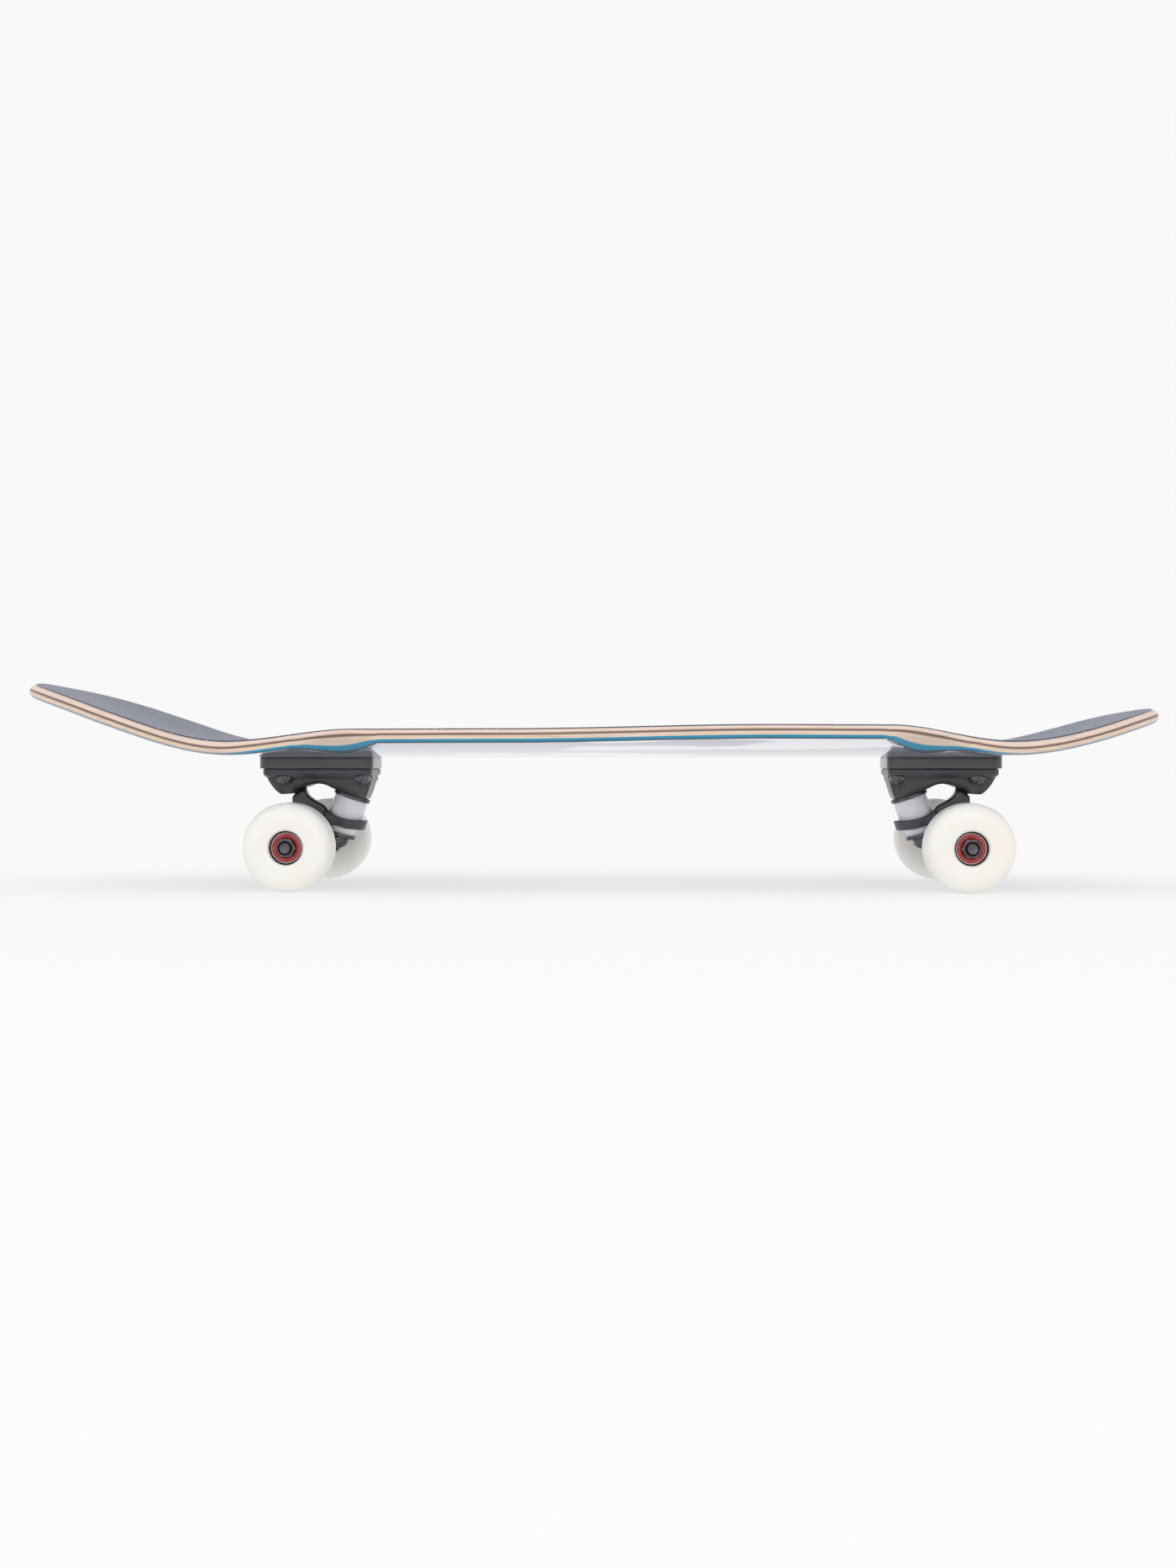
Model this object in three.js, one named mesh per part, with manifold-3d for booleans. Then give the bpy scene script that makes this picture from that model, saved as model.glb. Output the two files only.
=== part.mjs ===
// A street cruiser skateboard: a seven-ply kicktail deck on two trucks with four wheels.
// Millimetres, +X towards the nose, +Y to the rider's left, +Z up.
// The origin is on the floor, under the middle of the deck.
import * as THREE from "three";
import { mergeVertices } from "three/addons/utils/BufferGeometryUtils.js";
import Module from "manifold-3d";

const wasm = await Module();
wasm.setup();

const DEG = Math.PI / 180;
const GAP = 0.3; // play between pieces that touch

// ---- driving dimensions ----

const DECK = {
  halfLength: 381,
  halfWidth: 114,
  thickness: 8.8,
  undersideHeight: 87.4, // of the flat middle, above the floor
  edgeRound: 4,
  flatHalfWidth: 27, // the middle strip that the rails rise from
  concavePower: 1.7,
};
const TAIL = { bendStart: -225, bendRadius: 247, angle: 21.8 * DEG, roundLength: 100, power: 2.3 };
const NOSE = { bendStart: 275, bendRadius: 205, angle: 19.5 * DEG, roundLength: 90, power: 2.6 };
const GRIP = { thickness: 0.4, inset: 2.4 };

// How far the rail stands above the middle, from tail to nose.
const RAIL_RISE = [
  [-381, 7.1], [-310, 7.1], [-232, 1.5], [-148, 9.7], [-50, 10],
  [120, 12.7], [195, 12.4], [272, 1.5], [340, 4.1], [381, 4.1],
];

// A wheel well: a scoop sanded out of the underside at the rail, above each wheel.
const WELL = { innerEdge: 62, depth: 4.2, cutterRadius: 100 };

// Each truck's well is centred `wellShift` nearer to the board's middle than the truck.
const TRUCKS = [
  { name: "rear", x: -185.5, turn: 0, wellShift: 25.8 },
  { name: "front", x: 240, turn: Math.PI, wellShift: 21 },
];
const BOLT = {
  patternShift: 4.5, // of the four holes, towards the board's middle
  halfSpacingX: 53.975 / 2,
  halfSpacingY: 41.275 / 2,
  radius: 2.4,
  headRadius: 4.7,
  headHeight: 2.9,
  length: 27.6,
  holeRadius: 2.75,
};

const LOCK_NUT = { acrossFlats: 9.5, height: 5.3 };

const RISER = {
  halfLength: 38.8,
  halfWidth: 28.5,
  bottom: 80.3,
  top: DECK.undersideHeight - GAP,
  corner: 7,
};
const FLANGE = {
  rear: -36.5,
  front: 38,
  halfWidth: 27.5,
  bottom: 75.6,
  top: RISER.bottom - GAP,
  corner: 5,
};

// Truck frame: x runs from the truck's middle towards the middle of the board.
const KINGPIN_TILT = 18.8 * DEG; // from upright, its foot towards the axle
const RING_CENTRE = new THREE.Vector3(15.8, 0, 45);
const PIVOT_MOUTH = new THREE.Vector3(-17.8, 0, 66.8);
const KINGPIN_UP = new THREE.Vector3(Math.sin(KINGPIN_TILT), 0, Math.cos(KINGPIN_TILT));
const STEER_AXIS = RING_CENTRE.clone().sub(PIVOT_MOUTH).normalize();

const AXLE = { x: -7.5, z: 29, radius: 3.97, halfLength: 106.8 };
const AXLE_MIDDLE = new THREE.Vector3(AXLE.x, 0, AXLE.z);
const WHEEL = {
  radius: 29,
  width: 34,
  middle: 88,
  treadHalf: 10,
  lipDepth: 10, // how far the rounded lips come in from the tread
  faceRadius: 12,
  faceDip: 0.4,
  seatDip: 1.2,
  landRadius: 9,
};
const BEARING = {
  outer: 11,
  seat: 11.2,
  bore: 4.3,
  shieldInner: 6.4,
  innerRace: 6,
  width: 7,
  faceFromMiddle: 12,
  raceStandsOut: 0.4,
};

const AXLE_NUT = { acrossFlats: 11.6, height: 5.4 };
const SPACER = { outer: 6, halfLength: 4.3 };

const ROUND = 16; // sides of a round piece
const SMALL_ROUND = 8; // sides of a bolt or a hole for one
const WHEEL_SIDES = 24;

const ORIGIN = new THREE.Vector3();
const Y_AXIS = new THREE.Vector3(0, 1, 0);
const Z_AXIS = new THREE.Vector3(0, 0, 1);

// ---- solids ----

// A closed three.js geometry as a manifold-3d solid, for cuts and joins.
function solidOf(geometry) {
  const bare = geometry.clone();
  bare.deleteAttribute("normal");
  bare.deleteAttribute("uv");
  const merged = mergeVertices(bare, 1e-4);
  const triVerts = [];
  for (let i = 0; i < merged.index.count; i += 3) {
    const [a, b, c] = [0, 1, 2].map((k) => merged.index.getX(i + k));
    if (a !== b && b !== c && c !== a) triVerts.push(a, b, c); // drops the slivers at a pole
  }
  return new wasm.Manifold(
    new wasm.Mesh({
      numProp: 3,
      vertProperties: merged.attributes.position.array,
      triVerts: new Uint32Array(triVerts),
    }),
  );
}

function geometryOf(solid) {
  const mesh = solid.getMesh();
  const geometry = new THREE.BufferGeometry();
  geometry.setAttribute("position", new THREE.BufferAttribute(mesh.vertProperties, 3));
  geometry.setIndex(new THREE.BufferAttribute(mesh.triVerts, 1));
  geometry.computeVertexNormals();
  return geometry;
}

// A round piece about +Y from [radius, height] points, as a solid whose axis
// then lies along `axis` and whose height 0 is at `at`.
function turned(profile, sides, axis, at) {
  const lathe = new THREE.LatheGeometry(profile.map(([r, h]) => new THREE.Vector2(r, h)), sides);
  lathe.applyQuaternion(new THREE.Quaternion().setFromUnitVectors(Y_AXIS, axis));
  lathe.translate(at.x, at.y, at.z);
  return solidOf(lathe);
}

function rod(radius, from, to, sides, axis, at) {
  return turned([[0, from], [radius, from], [radius, to], [0, to]], sides, axis, at);
}

// A ring of rectangular section about `axis`.
function ring(inner, outer, from, to, sides, axis, at) {
  const section = [[inner, from], [outer, from], [outer, to], [inner, to], [inner, from]];
  return turned(section, sides, axis, at);
}

// An upright plate with rounded corners between two heights.
function plate(rear, front, halfWidth, corner, bottom, top) {
  const shape = new THREE.Shape();
  shape.moveTo(rear + corner, -halfWidth);
  shape.lineTo(front - corner, -halfWidth);
  shape.absarc(front - corner, -halfWidth + corner, corner, -Math.PI / 2, 0);
  shape.lineTo(front, halfWidth - corner);
  shape.absarc(front - corner, halfWidth - corner, corner, 0, Math.PI / 2);
  shape.lineTo(rear + corner, halfWidth);
  shape.absarc(rear + corner, halfWidth - corner, corner, Math.PI / 2, Math.PI);
  shape.lineTo(rear, -halfWidth + corner);
  shape.absarc(rear + corner, -halfWidth + corner, corner, Math.PI, 1.5 * Math.PI);
  const block = new THREE.ExtrudeGeometry(shape, {
    depth: top - bottom,
    bevelEnabled: false,
    curveSegments: 4,
  });
  block.translate(0, 0, bottom);
  return solidOf(block);
}

// A side profile in x and z, as a slab from -halfWidth to +halfWidth in y.
function slab(points, halfWidth, bevel = 0) {
  const shape = new THREE.Shape(points.map(([x, z]) => new THREE.Vector2(x, z)));
  const block = new THREE.ExtrudeGeometry(shape, {
    depth: 2 * (halfWidth - bevel),
    bevelEnabled: bevel > 0,
    bevelThickness: bevel,
    bevelSize: bevel,
    bevelOffset: -bevel,
    bevelSegments: 1,
  });
  block.translate(0, 0, -(halfWidth - bevel));
  block.rotateX(Math.PI / 2);
  return solidOf(block);
}

// A surface through rings of points. Flat caps close its end rings, unless those
// rings are folded shut already. On a sheet, the first `faceSteps` steps of a ring and
// the one before them cross its upper face, and they are split along the other
// diagonal, so that the sheet's two faces stay parallel.
function loft(rings, capped = true, faceSteps = 0) {
  const size = rings[0].length;
  const position = rings.flat(2);
  const index = [];
  for (let i = 0; i + 1 < rings.length; i++)
    for (let k = 0; k < size; k++) {
      const a = i * size + k;
      const b = i * size + ((k + 1) % size);
      if ((k + 1) % size <= faceSteps) index.push(a, b, b + size, a, b + size, a + size);
      else index.push(a, b, a + size, b, b + size, a + size);
    }
  const last = (rings.length - 1) * size;
  for (let k = 1; capped && k + 1 < size; k++) {
    index.push(0, k + 1, k);
    index.push(last, last + k, last + k + 1);
  }
  const geometry = new THREE.BufferGeometry();
  geometry.setAttribute("position", new THREE.Float32BufferAttribute(position, 3));
  geometry.setIndex(index);
  return solidOf(geometry);
}

// A hexagonal prism along `axis` with a round hole. The hex is a six-sided turned piece.
function hexNut(acrossFlats, hole, height, axis, at) {
  const body = rod(acrossFlats / Math.sqrt(3), 0, height, 6, axis, at);
  return body.subtract(rod(hole, -1, height + 1, 12, axis, at));
}

// ---- deck ----

const smoothstep = (t) => t * t * (3 - 2 * t);

// How far the rail rises at x: smooth steps between the listed stations.
function railRise(x) {
  for (let i = 1; i < RAIL_RISE.length; i++) {
    const [x0, r0] = RAIL_RISE[i - 1];
    const [x1, r1] = RAIL_RISE[i];
    if (x <= x1) return r0 + (r1 - r0) * smoothstep((x - x0) / (x1 - x0));
  }
  return RAIL_RISE.at(-1)[1];
}

// The deck's middle layer on the centre line: flat, then an arc, then a straight kick.
function centreLine(x) {
  const kick = x < TAIL.bendStart ? TAIL : NOSE;
  const side = x < TAIL.bendStart ? -1 : 1;
  const run = Math.max(0, side * (x - kick.bendStart));
  const arcRun = kick.bendRadius * Math.sin(kick.angle);
  const slope = Math.asin(Math.min(run, arcRun) / kick.bendRadius);
  const rise = kick.bendRadius * (1 - Math.cos(slope)) + Math.max(0, run - arcRun) * Math.tan(kick.angle);
  return { height: DECK.undersideHeight + DECK.thickness / 2 + rise, slope: side * slope };
}

// A point of the deck from its plan position and its height above the underside,
// measured square to the centre line.
function deckPoint(x, y, h) {
  const { height, slope } = centreLine(x);
  const offset = h - DECK.thickness / 2;
  const across = Math.max(0, (Math.abs(y) - DECK.flatHalfWidth) / (DECK.halfWidth - DECK.flatHalfWidth));
  const rise = railRise(x) * across ** DECK.concavePower;
  return [x - offset * Math.sin(slope), y, height + rise + offset * Math.cos(slope)];
}

// The outline's half width at each station, drawn in by `inset`: two rounded ends
// (superellipses, whose angle runs from the tip to the rail) and straight rails.
const END_STEPS = 8;
const RAIL_STEPS = 34;
function outlineStation(i, inset) {
  const total = 2 * END_STEPS + RAIL_STEPS;
  const end = i <= total / 2 ? TAIL : NOSE;
  const side = i <= total / 2 ? -1 : 1;
  const fromTip = Math.min(i, total - i);
  const halfWidth = DECK.halfWidth - inset;
  if (fromTip < END_STEPS) {
    const angle = (fromTip / END_STEPS) * (Math.PI / 2);
    const length = end.roundLength - inset;
    const x = DECK.halfLength - end.roundLength + length * Math.cos(angle) ** (2 / end.power);
    return [side * x, halfWidth * Math.sin(angle) ** (2 / end.power)];
  }
  const railStart = -DECK.halfLength + TAIL.roundLength;
  const railEnd = DECK.halfLength - NOSE.roundLength;
  return [railStart + ((railEnd - railStart) * (i - END_STEPS)) / RAIL_STEPS, halfWidth];
}

// How deep the wheel wells cut into the underside at a plan position.
function wellDepth(x, y) {
  const across = Math.min(1, Math.max(0, (Math.abs(y) - WELL.innerEdge) / (DECK.halfWidth - WELL.innerEdge)));
  const cuts = TRUCKS.map((truck) => {
    const along = x - (truck.x + truck.wellShift * Math.cos(truck.turn));
    return WELL.depth * across ** 2 - along ** 2 / (2 * WELL.cutterRadius);
  });
  return Math.max(0, ...cuts);
}

// Shares of the half width inside the rounded rails that split a face into strips:
// one flat strip down the middle and three curved strips on each side of it.
function stripShares() {
  const flat = DECK.flatHalfWidth / (DECK.halfWidth - DECK.edgeRound);
  const left = [0, 1, 2].map((k) => flat + ((1 - flat) * k) / 3);
  return [...left.map((share) => -share).reverse(), ...left];
}

// A closed sheet that follows the deck. `edge` lists [inset, height] down the left
// edge from top to bottom. `carve` is a depth that squeezes the section up from below.
function deckSheet(edge, carve = () => 0) {
  const [, top] = edge[0];
  const [, bottom] = edge.at(-1);
  const across = stripShares();
  const section = [
    ...across.map((s) => [DECK.edgeRound, top, s]),
    ...edge.map(([inset, h]) => [inset, h, 1]),
    ...across.map((s) => [DECK.edgeRound, bottom, -s]),
    ...edge.map(([inset, h]) => [inset, h, -1]).reverse(),
  ];
  const rings = [];
  for (let i = 2 * END_STEPS + RAIL_STEPS; i >= 0; i--)
    rings.push(
      section.map(([inset, h, s]) => {
        const [x, halfWidth] = outlineStation(i, inset);
        const y = s * halfWidth;
        return deckPoint(x, y, h + carve(x, y) * (1 - h / DECK.thickness));
      }),
    );
  return loft(rings, false, across.length);
}

// The eight mounting bolts: the truck, the end and the side of each, and its place.
function boltPlaces() {
  const places = [];
  for (const truck of TRUCKS)
    for (const alongSide of [-1, 1])
      for (const side of [-1, 1]) {
        const inwards = Math.cos(truck.turn);
        const x = truck.x + BOLT.patternShift * inwards + BOLT.halfSpacingX * alongSide;
        places.push({
          truck,
          end: alongSide * inwards < 0 ? "outer" : "inner",
          side: side < 0 ? "right" : "left",
          at: new THREE.Vector3(x, side * BOLT.halfSpacingY, 0),
        });
      }
  return places;
}

const gripBottom = DECK.thickness + GAP;
const gripTop = gripBottom + GRIP.thickness;
const boltTop = DECK.undersideHeight + gripTop;

function deckSolid() {
  const r = DECK.edgeRound;
  const t = DECK.thickness;
  const corner = (1 - Math.SQRT1_2) * r;
  const edge = [[r, t], [corner, t - corner], [0, t - r], [0, r], [corner, corner], [r, 0]];
  return boltPlaces().reduce((deck, { at }) => {
    const sink = DECK.undersideHeight + t - BOLT.headHeight;
    const hole = [[0, 0], [BOLT.holeRadius, 0], [BOLT.holeRadius, sink], [BOLT.headRadius + GAP, boltTop]];
    return deck.subtract(turned([...hole, [0, boltTop]], SMALL_ROUND, Z_AXIS, at));
  }, deckSheet(edge, wellDepth));
}

function gripSolid() {
  const edge = [[GRIP.inset, gripTop], [GRIP.inset, gripBottom]];
  return boltPlaces().reduce((grip, { at }) => {
    const hole = rod(BOLT.headRadius + GAP, DECK.undersideHeight, boltTop + 1, SMALL_ROUND, Z_AXIS, at);
    return grip.subtract(hole);
  }, deckSheet(edge));
}

// ---- truck ----

// What is stacked on the kingpin: heights along it from the middle of the hanger's eye.
const STACK = {
  eyeHalf: 3.9,
  upperBushing: [4.2, 16.2],
  upperWasher: [16.5, 18],
  lowerBushing: [-10, -4.2],
  lowerWasher: [-11.6, -10.3],
  nut: [-18.4, -11.9],
  foot: -19.8,
  head: [28, 33.4],
};
const KINGPIN = { radius: 4.76, hole: 5.2, headRadius: 8.2, nutAcrossFlats: 14.3 };
const WASHER = { upperRadius: 12.7, lowerRadius: 11.2, rim: 1, rimWidth: 1.2 };
const BUSHING = { upper: [11.4, 11.2], lower: [8.8, 10.2], edge: 0.8 }; // [low, high] radii

// Points on the baseplate's side profile, below its flange.
const BASEPLATE_PROFILE = [
  [-36.3, 75.7], [-33.8, 70.8], [-29.6, 65.4], [-26.2, 62.5], [-18.2, 62.8], [-15.5, 66],
  [-10, 67.6], [-4.4, 69.5], [0.3, 69.8], [5, 68.9], [9, 66.7], [31.9, 58.7], [33.8, 63],
  [35.9, 69.7], [37.6, 75.7],
];
const BASEPLATE_BODY = { halfWidth: 14.8, bevel: 1.5, pocketEnd: 60 };

// The hanger's pivot in its cup: heights along the steering axis from the cup's mouth.
const PIVOT = {
  nose: -4.6,
  noseRadius: 3.4,
  rootRadius: 4.6,
  root: 6,
  cupInner: 3.9,
  cupOuter: 5.2,
  cupBack: -6.8,
  cupFront: -0.4,
};

function riserSolid(holes) {
  const { halfLength, halfWidth, corner, bottom, top } = RISER;
  return plate(-halfLength, halfLength, halfWidth, corner, bottom, top).subtract(holes);
}

// The four bolt holes of a truck, joined in one tool.
function truckBoltHoles() {
  const below = BASEPLATE_BODY.pocketEnd;
  const tools = [];
  for (const x of [-BOLT.halfSpacingX, BOLT.halfSpacingX])
    for (const y of [-BOLT.halfSpacingY, BOLT.halfSpacingY]) {
      const at = new THREE.Vector3(BOLT.patternShift + x, y, 0);
      tools.push(rod(BOLT.holeRadius, below, DECK.undersideHeight, SMALL_ROUND, Z_AXIS, at));
    }
  return tools.reduce((all, one) => all.add(one));
}

function baseplateSolid(holes) {
  const { rear, front, halfWidth, corner, bottom, top } = FLANGE;
  const { halfWidth: bodyHalfWidth, bevel, pocketEnd } = BASEPLATE_BODY;
  const [headLow] = STACK.head;
  const { cupOuter, cupBack, root } = PIVOT;
  return plate(rear, front, halfWidth, corner, bottom, top)
    .add(slab(BASEPLATE_PROFILE, bodyHalfWidth, bevel))
    .subtract(rod(KINGPIN.hole, 0, pocketEnd, ROUND, KINGPIN_UP, RING_CENTRE))
    .subtract(rod(KINGPIN.headRadius + GAP, headLow - GAP, pocketEnd, ROUND, KINGPIN_UP, RING_CENTRE))
    .subtract(rod(cupOuter + GAP, cupBack - GAP, root, ROUND, STEER_AXIS, PIVOT_MOUTH))
    .subtract(holes);
}

// A plastic cup with a closed back, open towards the hanger.
function pivotCupSolid() {
  const { cupInner, cupOuter, cupBack, cupFront, nose } = PIVOT;
  const section = [
    [0, cupBack], [cupOuter, cupBack], [cupOuter, cupFront], [cupInner, cupFront],
    [cupInner, nose + 1], [cupInner - 1.6, nose - GAP], [0, nose - GAP],
  ];
  return turned(section, ROUND, STEER_AXIS, PIVOT_MOUTH);
}

function kingpinSolid() {
  const [headLow, headHigh] = STACK.head;
  const shank = [[0, STACK.foot], [KINGPIN.radius - 0.8, STACK.foot], [KINGPIN.radius, STACK.foot + 1]];
  const head = [[KINGPIN.radius, headLow], [KINGPIN.headRadius, headLow], [KINGPIN.headRadius, headHigh]];
  return turned([...shank, ...head, [0, headHigh]], ROUND, KINGPIN_UP, RING_CENTRE);
}

// A cupped washer: a disc with a low rim that holds the bushing's edge.
function washerSolid([low, high], radius, rimDown) {
  const [near, far] = rimDown ? [high, low - WASHER.rim] : [low, high + WASHER.rim];
  const inner = rimDown ? low : high;
  const insideRim = radius - WASHER.rimWidth;
  const section = [
    [KINGPIN.hole, near], [radius, near], [radius, far], [insideRim, far],
    [insideRim, inner], [KINGPIN.hole, inner], [KINGPIN.hole, near],
  ];
  return turned(rimDown ? section.reverse() : section, ROUND, KINGPIN_UP, RING_CENTRE);
}

function bushingSolid([low, high], [lowRadius, highRadius]) {
  const { edge } = BUSHING;
  const outside = [[lowRadius - edge, low], [lowRadius, low + edge], [highRadius, high - edge]];
  const section = [[KINGPIN.hole, low], ...outside, [highRadius - edge, high], [KINGPIN.hole, high]];
  return turned([...section, [KINGPIN.hole, low]], ROUND, KINGPIN_UP, RING_CENTRE);
}

// The hanger's body: ovals set along the axle, from one end face to the other.
// Each station is [distance from the middle, centre x, centre z, half width, half height].
const HANGER_STATIONS = [
  [0, -7, 35, 8.6, 14], [12, -7, 34.6, 8.6, 13.6], [24, -7.2, 32.5, 8.4, 11.6],
  [40, -7.4, 30.2, 8, 9.6], [58, -7.5, 29.2, 7.8, 8.3], [74.8, -7.5, 29, 7.4, 7.4],
];
const OVAL_POINTS = 12;

// The yoke's side profile, from the pivot round the eye's near edge to the axle.
const YOKE_PROFILE = [
  [-19, 61], [-13.5, 65.4], [-10.2, 65.4], [-9, 61.6], [-4.4, 58.3], [2.5, 54.9], [7, 50.2],
  [7, 42], [0, 39], [-14, 35], [-17, 44], [-19, 54],
];
const YOKE = { halfWidth: 6, bevel: 1.2 };
const EYE = { radius: 15.3, bore: 7.6, seat: 12.4, reach: 30 };

// Room under the eye, wider along the axle, where the washer and the nut swing.
const RELIEFS = [
  { radius: EYE.seat, bottom: -14, halfWidth: 15.8 },
  { radius: 9.6, bottom: -40, halfWidth: 14 },
];
const AXLE_BORE = { radius: AXLE.radius + 0.4, halfLength: 90 };

function oval([y, cx, cz, halfWidth, halfHeight], side) {
  return Array.from({ length: OVAL_POINTS }, (_, k) => {
    const angle = (k / OVAL_POINTS) * 2 * Math.PI;
    return [cx + halfWidth * Math.cos(angle), side * y, cz + halfHeight * Math.sin(angle)];
  });
}

function reliefSolid({ radius, bottom, halfWidth }) {
  const tool = new THREE.CylinderGeometry(radius, radius, -bottom - STACK.eyeHalf, ROUND);
  tool.translate(0, (bottom - STACK.eyeHalf) / 2, 0);
  tool.scale(1, 1, halfWidth / radius);
  tool.applyQuaternion(new THREE.Quaternion().setFromUnitVectors(Y_AXIS, KINGPIN_UP));
  tool.translate(RING_CENTRE.x, RING_CENTRE.y, RING_CENTRE.z);
  return solidOf(tool);
}

// The pivot's stem, from its nose in the cup to its root inside the yoke.
function stemSolid() {
  const { nose, noseRadius, rootRadius, root } = PIVOT;
  const profile = [
    [0, nose], [noseRadius - 1.5, nose], [noseRadius, nose + 2], [noseRadius, 0.5],
    [noseRadius + 1, 2], [rootRadius, root], [0, root + 4],
  ];
  return turned(profile, ROUND, STEER_AXIS, PIVOT_MOUTH);
}

function hangerSolid() {
  const leftToMiddle = HANGER_STATIONS.slice(1).reverse().map((station) => oval(station, 1));
  const { eyeHalf } = STACK;
  const { radius, bore, seat, reach } = EYE;
  return loft([...leftToMiddle, ...HANGER_STATIONS.map((station) => oval(station, -1))])
    .add(slab(YOKE_PROFILE, YOKE.halfWidth, YOKE.bevel))
    .add(rod(radius, -eyeHalf, eyeHalf, ROUND, KINGPIN_UP, RING_CENTRE))
    .add(stemSolid())
    .subtract(reliefSolid(RELIEFS[0]))
    .subtract(reliefSolid(RELIEFS[1]))
    .subtract(rod(seat, eyeHalf, reach, ROUND, KINGPIN_UP, RING_CENTRE))
    .subtract(rod(bore, -reach, reach, ROUND, KINGPIN_UP, RING_CENTRE))
    .subtract(rod(AXLE_BORE.radius, -AXLE_BORE.halfLength, AXLE_BORE.halfLength, ROUND, Y_AXIS, AXLE_MIDDLE));
}

// ---- axles and wheels ----

function axleSolid() {
  const { radius, halfLength } = AXLE;
  const end = 0.8;
  const profile = [
    [0, -halfLength], [radius - end, -halfLength], [radius, -halfLength + end],
    [radius, halfLength - end], [radius - end, halfLength], [0, halfLength],
  ];
  return turned(profile, ROUND, Y_AXIS, AXLE_MIDDLE);
}

// A urethane wheel about +Y, its middle at the origin: a flat tread, wide rounded lips,
// dished faces, a seat at each side for a bearing and a land between the seats.
function wheelSolid() {
  const { radius, width, treadHalf, lipDepth, faceRadius, faceDip, seatDip, landRadius } = WHEEL;
  const half = width / 2;
  const seatEnd = BEARING.faceFromMiddle - BEARING.width - GAP;
  const lip = [1, 2, 3].map((k) => {
    const angle = (k / 3) * (Math.PI / 2);
    const y = treadHalf + (half - treadHalf) * Math.sin(angle);
    return [radius - lipDepth * (1 - Math.cos(angle)), y];
  });
  const face = [[faceRadius, half - faceDip], [BEARING.seat, half - seatDip]];
  const right = [[radius, treadHalf], ...lip, ...face, [BEARING.seat, seatEnd], [landRadius, seatEnd]];
  const left = right.map(([r, y]) => [r, -y]).reverse();
  return turned([...left, ...right, left[0]], WHEEL_SIDES, Y_AXIS, ORIGIN);
}

// A shielded ball bearing as one piece, its inner race standing out at both sides.
function bearingSolid() {
  const { outer, bore, shieldInner, innerRace, width, raceStandsOut } = BEARING;
  const half = width / 2;
  const race = half + raceStandsOut;
  const right = [[outer, half], [shieldInner, half], [innerRace, race], [bore, race]];
  const left = right.map(([r, y]) => [r, -y]).reverse();
  return turned([...left, ...right, left[0]], ROUND, Y_AXIS, ORIGIN);
}

// ---- materials ----

function finish(color, roughness, metalness) {
  return new THREE.MeshStandardMaterial({ color, roughness, metalness });
}
const FINISHES = {
  maple: finish(0xe4c9ab, 0.5, 0),
  grit: finish(0x3c3f47, 0.95, 0),
  riser: finish(0x37363c, 0.55, 0),
  casting: finish(0x34333a, 0.45, 0.6),
  bushing: finish(0xc8cacc, 0.3, 0),
  cup: finish(0x1c1c1f, 0.5, 0),
  steel: finish(0x4b4b50, 0.4, 0.9),
  brightSteel: finish(0xb4b4b8, 0.3, 0.9),
  wheel: finish(0xf0efec, 0.4, 0),
  bearing: finish(0xa83c3c, 0.4, 0.2),
};

// ---- assembly ----

const skateboard = new THREE.Group();

function add(parent, name, solid, material) {
  const mesh = new THREE.Mesh(geometryOf(solid), FINISHES[material].clone());
  mesh.name = name;
  parent.add(mesh);
  return mesh;
}

add(skateboard, "deck", deckSolid(), "maple");
add(skateboard, "grip_tape", gripSolid(), "grit");

// Countersunk bolts from above, and their lock nuts under the baseplate flange.
const boltProfile = [
  [0, -BOLT.length], [BOLT.radius - 0.5, -BOLT.length], [BOLT.radius, 0.5 - BOLT.length],
  [BOLT.radius, -BOLT.headHeight], [BOLT.headRadius, 0], [0, 0],
];
for (const { truck, end, side, at } of boltPlaces()) {
  const label = `${truck.name}_${end}_${side}`;
  const bolt = turned(boltProfile, SMALL_ROUND, Z_AXIS, at.clone().setZ(boltTop));
  add(skateboard, `${label}_bolt`, bolt, "steel");
  const nutAt = at.clone().setZ(FLANGE.bottom - GAP - LOCK_NUT.height);
  const nut = hexNut(LOCK_NUT.acrossFlats, BOLT.radius + GAP, LOCK_NUT.height, Z_AXIS, nutAt);
  add(skateboard, `${label}_lock_nut`, nut, "brightSteel");
}

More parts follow.
